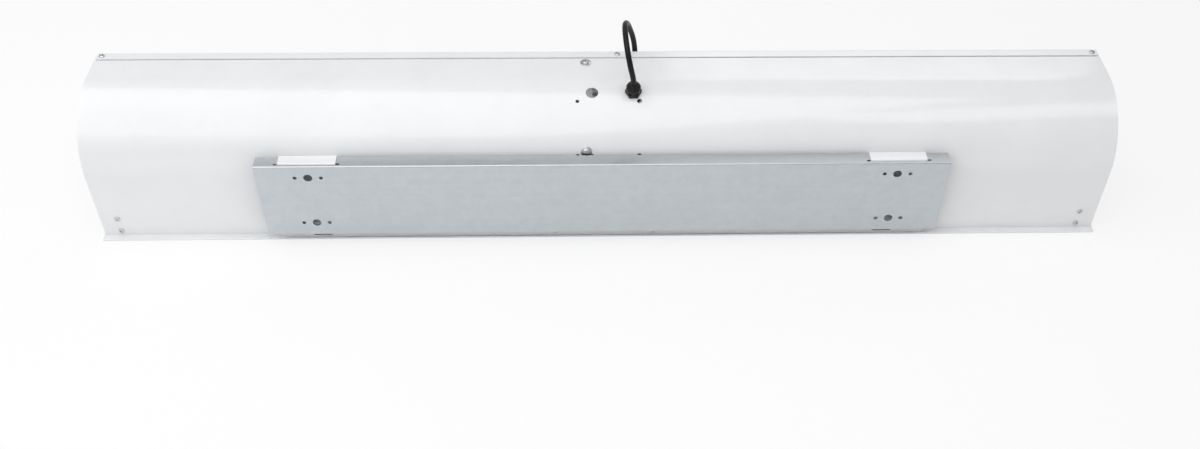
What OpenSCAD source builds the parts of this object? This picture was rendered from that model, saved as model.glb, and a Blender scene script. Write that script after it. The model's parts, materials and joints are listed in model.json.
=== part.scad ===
// Cross-flow air curtain, seen from behind in its photograph: quarter-round
// painted casing, wall plate with hooks, motor bay with two fan wheels, and a
// mains lead. X runs along the casing, +Y points to the wall, +Z up. The
// origin is on the underside, in the middle of the length and of the depth.

/* [Casing] */
// Length of the casing
body_l = 1200; // [1160:10:1260]
// Height of the casing above the surface it stands on
body_h = 174; // [172:1:180]
// Depth from the wall to the front face
body_d = 151; // [149:1:157]
// Outside radius of the quarter-round back
back_r = 82; // [78:1:84]
// Gap between the wall and the back of the casing
stand_off = 17; // [15:1:18]
// Thickness of the casing sheet
sheet_t = 1; // [0.8:0.1:1.2]
// Outside radius of the bend along the front top edge
front_r = 3; // [2:0.5:4]
// Width of the front cover's top strip
strip_w = 13.2; // [11:0.2:15]
// Width of the groove between the top strip and the back
groove_w = 0.8; // [0.4:0.1:1.2]

/* [Underside] */
// Thickness of the bottom panel
tray_t = 1.2; // [1:0.1:1.6]
// Height of the panel's upturned edges
upturn_h = 22; // [20:1:26]
// Thickness of the lip behind the casing
lip_t = 2.6; // [2.4:0.1:4]
// How far the lip stands out behind the casing
lip_out = 8.5; // [8:0.5:12]
// How far the lip runs past each end of the casing
lip_over = 1.5; // [0.5:0.5:3]
// Distance from the outlet slots to the back of the casing
outlet_back = 8.5; // [8:0.5:10.5]
// Width of the outlet slots
outlet_w = 46; // [42:1:46]

/* [End plates and bulkheads] */
// Thickness of the end plates and bulkheads
plate_t = 1.2; // [1:0.1:1.5]
// Depth of the end plates' flanges
flange_d = 26; // [24:1:30]
// How far the end plates sit inside the casing's ends
end_inset = 3; // [3:0.5:6]
// Height of the lower end screws
end_screw_z = 9.5; // [8:0.5:11]
// Rise from the lower to the upper end screws
end_screw_rise = 19; // [16:1:24]

/* [Wall plate] */
// Length of the wall plate
wall_l = 800; // [760:10:860]
// Height of the wall plate's face
wall_h = 106; // [100:1:106]
// Height of the top of the wall plate
wall_top = 122.5; // [121:0.5:124]
// Thickness of the wall plate
wall_t = 1.2; // [1:0.1:1.5]
// Depth of the wall plate's top flange
wall_flange = 17.5; // [17:0.5:19]
// Set-back of the strip below the face
strip_back = 8; // [6:0.5:9]
// Height of the strip below the face
strip_h = 11.5; // [10:0.5:12]
// Distance from the middle to the wall bolt holes
bolt_x = 340; // [330:5:360]
// Drop from the plate's top to the upper bolt holes
bolt_drop = 16.5; // [15:0.5:20]
// Height between the two rows of bolt holes
bolt_rise = 70; // [60:1:72]
// Diameter of the wall bolt holes
bolt_hole_d = 10; // [8:0.5:11]
// Diameter of the wall screw holes beside them
screw_hole_d = 4.6; // [4:0.1:5.5]
// Distance of the screw holes from the bolt holes
screw_hole_x = 15; // [12:1:20]
// Distance from the middle to the two plate screws
plate_screw_x = 58; // [40:2:80]

/* [Hooks] */
// Width of each hook
hook_w = 66; // [56:1:70]
// Thickness of the hooks
hook_t = 1.5; // [1.2:0.1:2]
// Distance from the hooks' lips to the wall
hook_reach = 4; // [3.4:0.2:5]
// Depth of the hooks' turned-down lips
hook_lip = 9; // [7:1:12]
// Room around a hook in its slot, at each end
hook_slack = 4.5; // [3:0.5:6]

/* [Fan] */
// Drop from the top of the casing to the fan's axis
axis_drop = 77; // [75:0.5:78]
// Distance from the fan's axis to the back of the casing
axis_back = 66.5; // [65.5:0.5:67.5]
// Outside radius of the fan wheels
wheel_r = 46; // [43:0.5:47]
// Depth of the blades
blade_d = 9; // [7:0.5:11]
// Thickness of the blades
blade_t = 0.8; // [0.6:0.1:1]
// Number of blades round a wheel
blades = 28; // [20:2:36]
// Thickness of the wheels' discs
disc_t = 1; // [0.8:0.1:1.5]
// Lengths of blading between the discs of a wheel
wheel_cells = 5; // [4:1:7]
// Radius of the shafts
shaft_r = 4; // [3.5:0.1:4.5]
// Running gap round a turning shaft
run_gap = 0.04; // [0.02:0.01:0.08]

/* [Motor] */
// Place of the motor along the casing
motor_x = 21; // [15:1:26]
// Radius of the motor
motor_r = 42; // [38:0.5:43]
// Length of the motor over its shields
motor_l = 70; // [64:1:72]
// Length of the laminated stack
stack_l = 34; // [28:1:38]
// Radius of the rotor
rotor_r = 20.5; // [18:0.5:22]
// Width of the motor bracket
bracket_w = 15; // [12:1:18]
// Thickness of the bracket strap
bracket_t = 1.5; // [1.2:0.1:2]
// Half the length of the motor bay
bay_half = 72; // [70:1:76]

/* [Vanes] */
// Height of the outlet vanes
vane_h = 34; // [28:1:36]
// Thickness of the outlet vanes
vane_t = 1.6; // [1.2:0.1:2]
// Radius of the vanes' pins
pin_r = 2.5; // [2:0.1:3]

/* [Cable entry] */
// Angle from upright of the row of cable holes
entry_a = 18; // [16:1:20]
// Place of the gland along the casing
gland_x = -34; // [-36:1:-32]
// Place of the spare cable hole along the casing
spare_x = 14; // [10:1:18]
// Diameter of the spare cable hole
spare_d = 14.5; // [12:0.5:16]
// Width of the gland's nut across its flats
gland_w = 17; // [15:1:19]
// Diameter of the mains lead
cord_d = 6.5; // [6:0.1:6.6]

/* [Grille] */
// Distance from the ends of the casing to the intake grille
grille_end = 55; // [50:5:100]
// Height of the intake grille
grille_h = 96; // [80:1:100]
// Drop from the top of the casing to the grille
grille_drop = 16; // [15:1:20]
// Number of grille bars
grille_bars = 10; // [8:1:12]
// Number of grille ribs
grille_ribs = 11; // [7:1:15]

/* [Hidden] */
$fn = 64;

WHITE = [0.95, 0.95, 0.95];
ZINC = [0.72, 0.74, 0.76];
STEEL = [0.6, 0.62, 0.64];
BLACK = [0.08, 0.08, 0.08];
GREY = [0.5, 0.5, 0.5];
COPPER = [0.72, 0.42, 0.25];
BRASS = [0.8, 0.68, 0.35];

touch = 0.1;                 // gap between sheets that lie on each other
soft_gap = 0.3;              // gap round soft pieces and moving plastics
cut = 1;                     // how far a cutter runs past what it cuts

wall_y = body_d / 2;
front_y = -body_d / 2;
rear_y = wall_y - stand_off;
arc_y = rear_y - back_r;
arc_z = body_h - back_r;
joint_y = front_y + strip_w + groove_w;
half_l = body_l / 2;
leg_y = rear_y - sheet_t - touch;
slit_low = sqrt(pow(back_r - sheet_t, 2) - pow(leg_y - arc_y, 2)) - 0.5;
slit_high = sqrt(pow(back_r, 2) - pow(leg_y - hook_t - arc_y, 2)) + 0.5;
web_x = half_l - end_inset;            // outer face of each end plate
inner_x = web_x - plate_t;             // inner face of each end plate
bay_x = [motor_x - bay_half, motor_x + bay_half];
outlet_end = rear_y - outlet_back;
outlet_y = outlet_end - outlet_w;
axis_y = rear_y - axis_back;
axis_z = body_h - axis_drop;
grille_l = body_l - 2 * grille_end;
grille_z = body_h - grille_drop - grille_h;
slot_margin = 6;
vane_y = outlet_y + outlet_w / 2;
vane_z = tray_t + vane_h / 2 + 5.8;
side_names = [-1, 1];

// ---------------------------------------------------------------- helpers

// Extrudes a section drawn as (Y, Z) from x0 to x1
module along_x(x0, x1) {
    translate([x0, 0, 0]) rotate([90, 0, 90]) linear_extrude(x1 - x0) children();
}

// Puts children on the round back, their +Z along its outward normal
module on_back(x, a, r = back_r) {
    translate([x, arc_y + r * sin(a), arc_z + r * cos(a)]) rotate([-a, 0, 0]) children();
}

// Turns children so that their +Z points along +Y, or along -Y
module facing_wall() { rotate([-90, 0, 0]) children(); }
module facing_front() { rotate([90, 0, 0]) children(); }

// A round bar along X
module bar_x(x0, x1, r) {
    translate([x0, 0, 0]) rotate([0, 90, 0]) cylinder(r = r, h = x1 - x0);
}

// A tube along X
module tube_x(x0, x1, r_out, r_in) {
    difference() {
        bar_x(x0, x1, r_out);
        bar_x(x0 - cut, x1 + cut, r_in);
    }
}

module at_axis() { translate([0, axis_y, axis_z]) children(); }

// Pan-head screw with a cross recess, its head above the XY plane
module pan_screw(head_r, head_h, shank_r, length) {
    recess = head_r * 0.28;
    difference() {
        union() {
            intersection() {
                translate([0, 0, -head_r * 0.55]) sphere(r = head_r * 0.55 + head_h);
                cylinder(r = head_r, h = head_h);
            }
            translate([0, 0, -length]) cylinder(r = shank_r, h = length + head_h / 2);
        }
        for (q = [0, 90]) rotate([0, 0, q])
            translate([-head_r * 0.62, -recess / 2, head_h * 0.45])
                cube([head_r * 1.24, recess, head_h]);
    }
}

// Section of the whole casing, drawn in by inset
module casing_outline(inset) {
    r = back_r - inset;
    corner = max(front_r - inset, 0.4);
    left = front_y + inset;
    top = body_h - inset;
    intersection() {
        translate([arc_y, arc_z]) circle(r = r, $fn = 180);
        translate([arc_y, arc_z]) square([r, r]);
    }
    translate([left, inset]) square([rear_y - inset - left, arc_z - inset]);
    translate([left, inset]) square([arc_y - left, top - corner - inset]);
    translate([left + corner, inset]) square([arc_y - left - corner, top - inset]);
    translate([left + corner, top - corner]) circle(r = corner);
}

// Section of sheet that follows the casing between two insets
module casing_band(outer, inner) {
    difference() {
        casing_outline(outer);
        casing_outline(inner);
    }
}

// ------------------------------------------------------------- screw sizes

panel_head_r = 3.4;
panel_head_h = 2.2;
panel_shank_r = 1.9;
panel_screw_l = 9;
end_screw_l = 6;
sunk_head_r = 3;
grille_deep = 8;             // depth of the grille behind the front sheet
grille_margin = 8;           // width of the grille's frame round the opening
screw_play = 0.2;
bracket_head_r = 4;
washer_r = 6.5;
washer_t = 1;
bracket_screw_x = motor_x;
bracket_top_y = arc_y - 27;
bracket_rear_a = 67.5;
end_screw_x = half_l - 20.5;
end_screw_zs = [end_screw_z, end_screw_z + end_screw_rise];
top_screw_xs = [-half_l + 7, -17, half_l - 7];
top_screw_y = front_y + 8;
front_screw_in = 60;         // from the ends of the casing to the outer front screws
front_screw_xs = [-half_l + front_screw_in, -half_l / 3, half_l / 3, half_l - front_screw_in];
front_screw_z = 12;
small_holes = [               // place along X, angle on the back, diameter
    [31, 26, 4.3], [-41, 26, 5.8],
    [31, 71, 4], [14.5, 71, 4], [-40.5, 71, 5]
];
spacer_r = 4;
spacer_bore = 2;
spigot_r = 2.8;
spacer_z = wall_top - wall_h - strip_h / 2;
gland_thread_r = 8;
gland_play = 0.1;
entry_dir = [0, sin(entry_a), cos(entry_a)];
gland_at = [gland_x, arc_y + back_r * sin(entry_a), arc_z + back_r * cos(entry_a)];

// ------------------------------------------------------------------ casing

module rear_casing() {
    joggle = 2 * sheet_t;
    color(WHITE) difference() {
        along_x(-half_l, half_l) {
            intersection() {
                casing_band(0, sheet_t);
                translate([joint_y, lip_t]) square([body_d, body_h]);
            }
            translate([joint_y, body_h - joggle]) square([sheet_t, joggle]);
            translate([front_y + front_r + touch, body_h - joggle])
                square([joint_y - front_y - front_r, sheet_t]);
        }
        // screws of the motor bracket
        translate([bracket_screw_x, bracket_top_y, body_h - cut * 4])
            cylinder(r = panel_shank_r + screw_play, h = cut * 8);
        on_back(bracket_screw_x, bracket_rear_a)
            translate([0, 0, -cut * 4]) cylinder(r = panel_shank_r + screw_play, h = cut * 8);
        // cable entries
        on_back(gland_x, entry_a)
            translate([0, 0, -cut * 4]) cylinder(r = gland_thread_r + gland_play, h = cut * 8);
        on_back(spare_x, entry_a)
            translate([0, 0, -cut * 4]) cylinder(r = spare_d / 2, h = cut * 8);
        for (h = small_holes) on_back(h[0], h[1])
            translate([0, 0, -cut * 4]) cylinder(r = h[2] / 2, h = cut * 8);
        // screws of the top strip
        for (x = top_screw_xs) translate([x, top_screw_y, body_h - cut * 4])
            cylinder(r = panel_shank_r + screw_play, h = cut * 8);
        // end screws, plate spacers and hook rivets in the flat of the back
        for (s = side_names) {
            for (z = end_screw_zs) translate([s * end_screw_x, rear_y - cut * 4, z])
                facing_wall() cylinder(r = panel_shank_r + screw_play, h = cut * 8);
            translate([s * plate_screw_x, rear_y - cut * 4, spacer_z])
                facing_wall() cylinder(r = spigot_r + touch, h = cut * 8);
            for (q = side_names) translate([s * bolt_x + q * rivet_x, rear_y - cut * 4, rivet_z])
                facing_wall() cylinder(r = rivet_r + touch, h = cut * 8);
            // slit that a hook's leg comes through
            translate([s * bolt_x - hook_w / 2 - soft_gap, arc_y, arc_z + slit_low])
                cube([hook_w + 2 * soft_gap, back_r + cut, slit_high - slit_low]);
        }
    }
}

module front_cover() {
    color(WHITE) difference() {
        along_x(-half_l, half_l) {
            intersection() {
                casing_band(0, sheet_t);
                union() {
                    translate([front_y, 0]) square([sheet_t, body_h - front_r]);
                    translate([front_y, body_h - front_r]) square([strip_w, front_r]);
                }
            }
            translate([front_y, 0]) square([sheet_t, sheet_t]);
        }
        translate([-grille_l / 2, front_y - cut, grille_z])
            cube([grille_l, sheet_t + 2 * cut, grille_h]);
        for (x = top_screw_xs) translate([x, top_screw_y, body_h - cut * 4])
            cylinder(r = panel_shank_r + screw_play, h = cut * 8);
        for (x = front_screw_xs) translate([x, front_y, front_screw_z]) facing_front() {
            translate([0, 0, -cut * 4]) cylinder(r = panel_shank_r + screw_play, h = cut * 8);
            translate([0, 0, -sheet_t]) cylinder(r1 = panel_shank_r + touch, r2 = sunk_head_r + touch, h = sheet_t);
        }
    }
}

module intake_grille() {
    margin = grille_margin;
    frame_t = 2;
    bar_t = 1.6;
    bar_deep = 9;
    bar_tilt = 35;
    rib_t = 2;
    rib_deep = grille_deep - 2;
    back_y = front_y + sheet_t;
    bar_step = grille_h / (grille_bars + 1);
    rib_step = grille_l / (grille_ribs + 1);
    color(WHITE) {
        difference() {
            translate([-grille_l / 2 - margin, back_y, grille_z - margin])
                cube([grille_l + 2 * margin, frame_t, grille_h + 2 * margin]);
            translate([-grille_l / 2, back_y - cut, grille_z])
                cube([grille_l, frame_t + 2 * cut, grille_h]);
        }
        for (i = [1 : grille_ribs])
            translate([-grille_l / 2 + i * rib_step - rib_t / 2, back_y, grille_z - cut])
                cube([rib_t, rib_deep, grille_h + 2 * cut]);
        intersection() {
            for (i = [1 : grille_bars])
                translate([0, back_y + rib_deep / 2, grille_z + i * bar_step])
                    rotate([-bar_tilt, 0, 0])
                        cube([grille_l + 2 * cut, bar_deep, bar_t], center = true);
            union() {
                translate([-grille_l / 2 + touch, front_y + touch, 0])
                    cube([grille_l - 2 * touch, sheet_t + grille_deep - touch, body_h]);
                translate([-grille_l, back_y, 0]) cube([2 * grille_l, grille_deep, body_h]);
            }
        }
    }
}

module bottom_panel() {
    inside = flange_x - soft_gap;
    lip_y0 = outlet_end + 2;
    lip_y1 = rear_y + lip_out;
    color(WHITE) difference() {
        union() {
            along_x(-half_l, half_l)
                translate([front_y + sheet_t, 0]) square([lip_y1 - front_y - 2 * sheet_t - lip_t, tray_t]);
            along_x(-half_l - lip_over, half_l + lip_over) {
                translate([lip_y0, 0]) square([lip_y1 - lip_t / 2 - lip_y0, lip_t]);
                translate([lip_y1 - lip_t / 2, lip_t / 2]) circle(r = lip_t / 2);
            }
            along_x(-inside, inside) {
                translate([front_y + sheet_t, 0]) square([tray_t, upturn_h]);
                translate([rear_y - sheet_t - tray_t, 0]) square([tray_t, upturn_h]);
            }
        }
        for (s = side_names) {
            slot = outlet_slot(s);
            translate([slot[0], outlet_y, -cut]) cube([slot[1] - slot[0], outlet_w, tray_t + 2 * cut]);
            translate([s * plate_screw_x, rear_y - cut * 4, spacer_z])
                facing_wall() cylinder(r = spigot_r + 2 * touch, h = cut * 4);
        }
        for (x = front_screw_xs) translate([x, front_y + cut * 4, front_screw_z])
            facing_front() cylinder(r = panel_shank_r + screw_play, h = cut * 4);
    }
}

// Ends of the outlet slot on side s
function outlet_slot(s) = s > 0
    ? [bay_x[1] + slot_margin, inner_x - slot_margin]
    : [-inner_x + slot_margin, bay_x[0] - slot_margin];

// -------------------------------------------------- end plates, bulkheads

flange_x = web_x - flange_d;
bush_r = 4;
bush_flange_r = 6;
bush_flange_t = 1;
switch_y = front_y + 26;
switch_z = 42;
switch_w = 22;
switch_h = 30;
switch_back = web_x - 25;    // inner end of the switch's housing

// Keeps sections clear of the bottom panel, its lip and the front's joggle
module clear_of_sheets(z_lip) {
    difference() {
        children();
        translate([front_y - cut, -cut]) square([body_d + 2 * cut, tray_t + cut]);
        translate([outlet_end + 2 - touch, -cut]) square([body_d, z_lip + cut]);
        translate([front_y - cut, body_h - 2 * sheet_t - touch])
            square([joint_y + sheet_t + touch - front_y + cut, body_h]);
    }
}

module end_plate(s) {
    snug = sheet_t + touch;
    color(WHITE) mirror([s < 0 ? 1 : 0, 0, 0]) difference() {
        union() {
            along_x(inner_x, web_x) clear_of_sheets(lip_t + touch) casing_outline(snug);
            along_x(flange_x, web_x) clear_of_sheets(lip_t + touch) {
                casing_band(snug, snug + plate_t);
                translate([front_y + front_r, body_h - 2 * sheet_t - touch - plate_t])
                    square([joint_y - front_y, plate_t]);
            }
        }
        // gap in the lower flange over the outlet slot
        translate([flange_x - cut, outlet_y - 2 * cut - touch, -cut])
            cube([flange_d - plate_t + cut, outlet_w + 4 * cut, upturn_h / 2]);
        translate([0, vane_y, vane_z]) bar_x(inner_x - cut, web_x + cut, bush_r + touch / 2);
        for (z = end_screw_zs) translate([end_screw_x, rear_y - cut * 4, z])
            facing_wall() cylinder(r = panel_shank_r + touch, h = cut * 4);
        translate([half_l - 7, top_screw_y, body_h - cut * 5])
            cylinder(r = panel_shank_r + touch, h = cut * 5);
        if (s > 0)
            translate([inner_x - cut, switch_y - switch_w / 2 - touch, switch_z - switch_h / 2 - touch])
                cube([plate_t + 2 * cut, switch_w + 2 * touch, switch_h + 2 * touch]);
    }
}

module left_end_plate() { end_plate(-1); }
module right_end_plate() { end_plate(1); }

bulk_inset = sheet_t + tray_t + 4 * touch;
bulk_hole_r = 18;
wire_hole_r = 5;
wire_y = front_y + 14;
wire_hole_z = tray_t + wire_hole_r + 2;
wire_r = 2.5;

module bulkhead(s) {
    x = s > 0 ? bay_x[1] : bay_x[0];
    lip = 10;
    color(ZINC) difference() {
        union() {
            along_x(x - plate_t / 2, x + plate_t / 2)
                clear_of_sheets(lip_t + touch) casing_outline(bulk_inset);
            along_x(s > 0 ? x - lip : x - plate_t / 2, s > 0 ? x + plate_t / 2 : x + lip)
                clear_of_sheets(lip_t + touch) casing_band(bulk_inset, bulk_inset + plate_t);
        }
        at_axis() bar_x(x - 2 * cut, x + 2 * cut, bulk_hole_r);
        translate([0, vane_y, vane_z]) bar_x(x - 2 * cut, x + 2 * cut, bush_r + touch / 2);
        // room for the grille
        translate([x - 2 * cut - lip, front_y, grille_z - grille_margin - soft_gap])
            cube([2 * lip + 4 * cut, sheet_t + grille_deep + soft_gap, grille_h + 2 * (grille_margin + soft_gap)]);
        if (s > 0) translate([0, wire_y, wire_hole_z]) bar_x(x - 2 * cut, x + 2 * cut, wire_hole_r);
        // notch in the flange beside the gland's locknut
        on_back(gland_x, entry_a) translate([0, 0, -gland_inside])
            cylinder(r = locknut_r + soft_gap, h = gland_inside + cut);
    }
}

module left_bulkhead() { bulkhead(-1); }
module right_bulkhead() { bulkhead(1); }

// -------------------------------------------------------------- air guides

guide_t = 1;
guide_gap = 4;               // least gap between the wheel and the guide
guide_far = outlet_end + 0.5 - axis_y;   // radius of the spiral at the level of the axis
guide_start = 100;
guide_steps = 20;

// Radius of the guide's inner face at angle a above the level of the axis
function guide_r(a) =
    let (near = wheel_r + guide_gap)
    near + (guide_far - near) * (1 - a / guide_start);
function guide_pt(a, out) = [
    axis_y + (guide_r(a) + out) * cos(a),
    axis_z + (guide_r(a) + out) * sin(a)
];

// X range of the duct on side s, between the bulkhead and the end plate
function duct(s) = s > 0 ? [bay_x[1] + plate_t / 2, inner_x] : [-inner_x, bay_x[0] - plate_t / 2];

module air_guide(s) {
    steps = [for (i = [0 : guide_steps]) guide_start * (1 - i / guide_steps)];
    inner = [for (a = steps) guide_pt(a, 0)];
    outer = [for (i = [guide_steps : -1 : 0]) guide_pt(steps[i], guide_t)];
    y = axis_y + guide_far;
    color(ZINC) along_x(duct(s)[0], duct(s)[1])
        polygon(concat(inner, [[y, tray_t], [y + guide_t, tray_t]], outer));
}

module left_air_guide() { air_guide(-1); }
module right_air_guide() { air_guide(1); }

tongue_gap = 5;              // least gap between the wheel and the tongue
tongue_neck = [9, 24];       // run and drop of the tongue's three slopes
tongue_bend = [16, 7];
tongue_lip = [36, 6];
tongue_flat = 29;

module tongue(s) {
    y = outlet_y - guide_t / 2;
    z = axis_z - wheel_r - tongue_gap;
    t = guide_t;
    route = [[y, tray_t], [y, z - tongue_neck[1]], [y - tongue_neck[0], z - tongue_bend[1]],
             [y - tongue_bend[0], z], [y - tongue_flat, z], [y - tongue_lip[0], z - tongue_lip[1]]];
    back = [[y - tongue_lip[0] + t, z - tongue_lip[1] - 0.8 * t], [y - tongue_flat + 0.4 * t, z - t],
            [y - tongue_bend[0] - 0.4 * t, z - t], [y - tongue_neck[0] - t, z - tongue_bend[1] - 0.6 * t],
            [y - t, z - tongue_neck[1] - 0.3 * t], [y - t, tray_t]];
    color(ZINC) along_x(duct(s)[0], duct(s)[1]) polygon(concat(route, back));
}

module left_tongue() { tongue(-1); }
module right_tongue() { tongue(1); }

// --------------------------------------------------------------- wall plate

module wall_plate() {
    z0 = wall_top - wall_h;
    bend = 2;
    end_cut = 8;
    end_slope = 6;
    notch_w = 22;
    notch_h = 6;
    slot_y = wall_y - hook_reach - hook_t - soft_gap * 2;
    color(ZINC) difference() {
        union() {
            along_x(-wall_l / 2, wall_l / 2) {
                translate([wall_y - wall_t, z0]) square([wall_t, wall_h - bend]);
                translate([wall_y - wall_flange, wall_top - wall_t]) square([wall_flange - bend, wall_t]);
                intersection() {
                    difference() {
                        translate([wall_y - bend, wall_top - bend]) circle(r = bend);
                        translate([wall_y - bend, wall_top - bend]) circle(r = bend - wall_t);
                    }
                    translate([wall_y - bend, wall_top - bend]) square([bend, bend]);
                }
            }
            intersection() {
                along_x(-wall_l / 2, wall_l / 2) {
                    translate([wall_y - strip_back - wall_t, z0]) square([strip_back + wall_t, wall_t]);
                    translate([wall_y - strip_back - wall_t, z0 - strip_h]) square([wall_t, strip_h + wall_t]);
                }
                // sloped ends of the strip
                translate([0, wall_y, 0]) facing_front() linear_extrude(wall_y)
                    polygon([
                        [-wall_l / 2 + end_cut, z0 + cut * 2], [-wall_l / 2 + end_cut, z0],
                        [-wall_l / 2 + end_cut + end_slope, z0 - strip_h],
                        [wall_l / 2 - end_cut - end_slope, z0 - strip_h],
                        [wall_l / 2 - end_cut, z0], [wall_l / 2 - end_cut, z0 + cut * 2]
                    ]);
            }
        }
        for (s = side_names) {
            for (row = [0, 1]) for (q = [-1, 0, 1])
                translate([s * bolt_x + q * screw_hole_x, wall_y - cut * 3, wall_top - bolt_drop - row * bolt_rise])
                    facing_wall() cylinder(r = (q == 0 ? bolt_hole_d : screw_hole_d) / 2, h = cut * 6);
            // slot for the hook's lip
            translate([s * bolt_x - hook_w / 2 - hook_slack, slot_y, wall_top - cut * 2])
                cube([hook_w + 2 * hook_slack, hook_t + 4 * soft_gap, cut * 4]);
            // small notch-like slot in the strip
            translate([s * (bolt_x - 2.5) - notch_w / 2, wall_y - strip_back - cut * 2,
                       spacer_z - notch_h / 2])
                cube([notch_w, cut * 4, notch_h]);
            translate([s * plate_screw_x, wall_y - strip_back - cut * 2, spacer_z])
                facing_wall() cylinder(r = panel_shank_r + touch, h = cut * 4);
        }
    }
}

rivet_r = 2;
rivet_head_r = 4;
rivet_head_t = 1.2;
rivet_x = hook_w / 2 - 12;
rivet_z = arc_z - 11;

module hanging_hooks() {
    tip_y = wall_y - hook_reach;
    low_z = rivet_z - 9;
    color(WHITE) difference() {
        for (s = side_names) along_x(s * bolt_x - hook_w / 2, s * bolt_x + hook_w / 2)
            polygon([
                [leg_y - hook_t, low_z], [leg_y, low_z], [leg_y, wall_top],
                [tip_y - hook_t, wall_top], [tip_y - hook_t, wall_top - hook_lip],
                [tip_y, wall_top - hook_lip], [tip_y, wall_top + hook_t],
                [leg_y - hook_t, wall_top + hook_t]
            ]);
        for (s = side_names) for (q = side_names)
            translate([s * bolt_x + q * rivet_x, rear_y - cut * 5, rivet_z])
                facing_wall() cylinder(r = rivet_r + touch, h = cut * 6);
    }
}

module hook_rivets() {
    grip = sheet_t + touch + hook_t;
    color(ZINC) for (s = side_names) for (q = side_names)
        translate([s * bolt_x + q * rivet_x, rear_y, rivet_z]) facing_wall() {
            cylinder(r = rivet_head_r, h = rivet_head_t);
            translate([0, 0, -grip]) cylinder(r = rivet_r, h = grip + rivet_head_t);
            translate([0, 0, -grip - rivet_head_t]) cylinder(r = rivet_r * 1.5, h = rivet_head_t);
        }
}

spacer_l = stand_off - strip_back - wall_t;

module plate_spacers() {
    color(ZINC) for (s = side_names) translate([s * plate_screw_x, rear_y, spacer_z])
        facing_wall() difference() {
            union() {
                cylinder(r = spacer_r, h = spacer_l);
                translate([0, 0, -sheet_t - tray_t]) cylinder(r = spigot_r, h = sheet_t + tray_t + cut);
            }
            translate([0, 0, -sheet_t - tray_t - cut]) cylinder(r = spacer_bore, h = spacer_l + 5 * cut);
        }
}

module plate_screws() {
    color(STEEL) for (s = side_names) translate([s * plate_screw_x, wall_y - strip_back, spacer_z])
        facing_wall() pan_screw(panel_head_r, panel_head_h, panel_shank_r, panel_screw_l);
}

// ---------------------------------------------------- motor and its bracket

clamp_t = 3;

module motor_bracket() {
    r_out = motor_r + clamp_t;
    strap_out = sheet_t + touch;
    color(ZINC) difference() {
        along_x(motor_x - bracket_w / 2, motor_x + bracket_w / 2) {
            // strap under the top and the round back
            intersection() {
                casing_band(strap_out, strap_out + bracket_t);
                translate([bracket_top_y - 8, arc_z + (back_r - 10) * cos(74)]) square([body_d, body_h]);
            }
            difference() {
                translate([axis_y, axis_z]) circle(r = r_out);
                translate([axis_y, axis_z]) circle(r = motor_r + touch / 2);
            }
            // upright leg in front of the motor
            translate([axis_y - r_out, axis_z]) square([clamp_t, body_h - axis_z - strap_out - bracket_t / 2]);
            // level leg behind it
            translate([axis_y + r_out * 0.8, arc_z + back_r * cos(bracket_rear_a) - clamp_t])
                square([arc_y + (back_r - strap_out) * sin(bracket_rear_a) - bracket_t / 2
                        - axis_y - r_out * 0.8, clamp_t]);
        }
        bracket_places() translate([0, 0, -panel_screw_l])
            cylinder(r = panel_shank_r + touch, h = panel_screw_l + cut);
    }
}

module bracket_places() {
    translate([bracket_screw_x, bracket_top_y, body_h]) children();
    on_back(bracket_screw_x, bracket_rear_a) children();
}

module bracket_screws() {
    color(STEEL) bracket_places() translate([0, 0, washer_t])
        pan_screw(bracket_head_r, panel_head_h, panel_shank_r, washer_t + panel_screw_l - 3);
}

module bracket_washers() {
    color(STEEL) bracket_places() difference() {
        cylinder(r = washer_r, h = washer_t);
        translate([0, 0, -cut]) cylinder(r = panel_shank_r + touch, h = washer_t + 2 * cut);
    }
}

module end_screws() {
    color(STEEL) for (s = side_names) for (z = end_screw_zs)
        translate([s * end_screw_x, rear_y, z])
            facing_wall() pan_screw(panel_head_r, panel_head_h, panel_shank_r, end_screw_l);
}

module top_screws() {
    color(STEEL) for (x = top_screw_xs) translate([x, top_screw_y, body_h])
        pan_screw(panel_head_r, panel_head_h, panel_shank_r, panel_screw_l);
}

module front_screws() {
    color(STEEL) for (x = front_screw_xs) translate([x, front_y, front_screw_z])
        facing_front() difference() {
            union() {
                translate([0, 0, -sheet_t]) cylinder(r1 = panel_shank_r, r2 = sunk_head_r, h = sheet_t);
                translate([0, 0, -panel_screw_l]) cylinder(r = panel_shank_r, h = panel_screw_l - sheet_t / 2);
            }
            for (q = [0, 90]) rotate([0, 0, q]) translate([-1.6, -0.4, -0.7]) cube([3.2, 0.8, cut]);
        }
}

bearing_r = 11;
bearing_w = 7;
boss_r = 14;
boss_out = 8;
shield_t = 3;
motor_half = motor_l / 2;
stack_half = stack_l / 2;

module motor_stator() {
    at_axis() color(STEEL) difference() {
        tube_x(motor_x - stack_half, motor_x + stack_half, motor_r, rotor_r + 0.5);
        for (q = [0 : 11]) rotate([q * 30, 0, 0]) translate([motor_x, 0, rotor_r + 6])
            bar_x(-stack_half - cut, stack_half + cut, 3);
    }
}

module motor_windings() {
    at_axis() color(COPPER) for (s = side_names) {
        x0 = motor_x + s * (stack_half + 5);
        tube_x(x0 - 4.9, x0 + 4.9, rotor_r + 12, rotor_r + 2);
    }
}

module motor_shield(s) {
    at_axis() translate([motor_x, 0, 0]) mirror([s < 0 ? 1 : 0, 0, 0]) color(GREY) difference() {
        union() {
            bar_x(stack_half, motor_half, motor_r);
            bar_x(motor_half - cut, motor_half + boss_out, boss_r);
        }
        bar_x(stack_half - cut, motor_half - shield_t, motor_r - shield_t);
        bar_x(stack_half, motor_half + boss_out - 1, bearing_r);
        bar_x(stack_half, motor_half + boss_out + cut, shaft_r + 1);
        for (q = [0 : 5]) rotate([q * 60, 0, 0]) translate([0, 0, (motor_r + boss_r) / 2])
            bar_x(motor_half - shield_t - cut, motor_half + cut, 6);
    }
}

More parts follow.
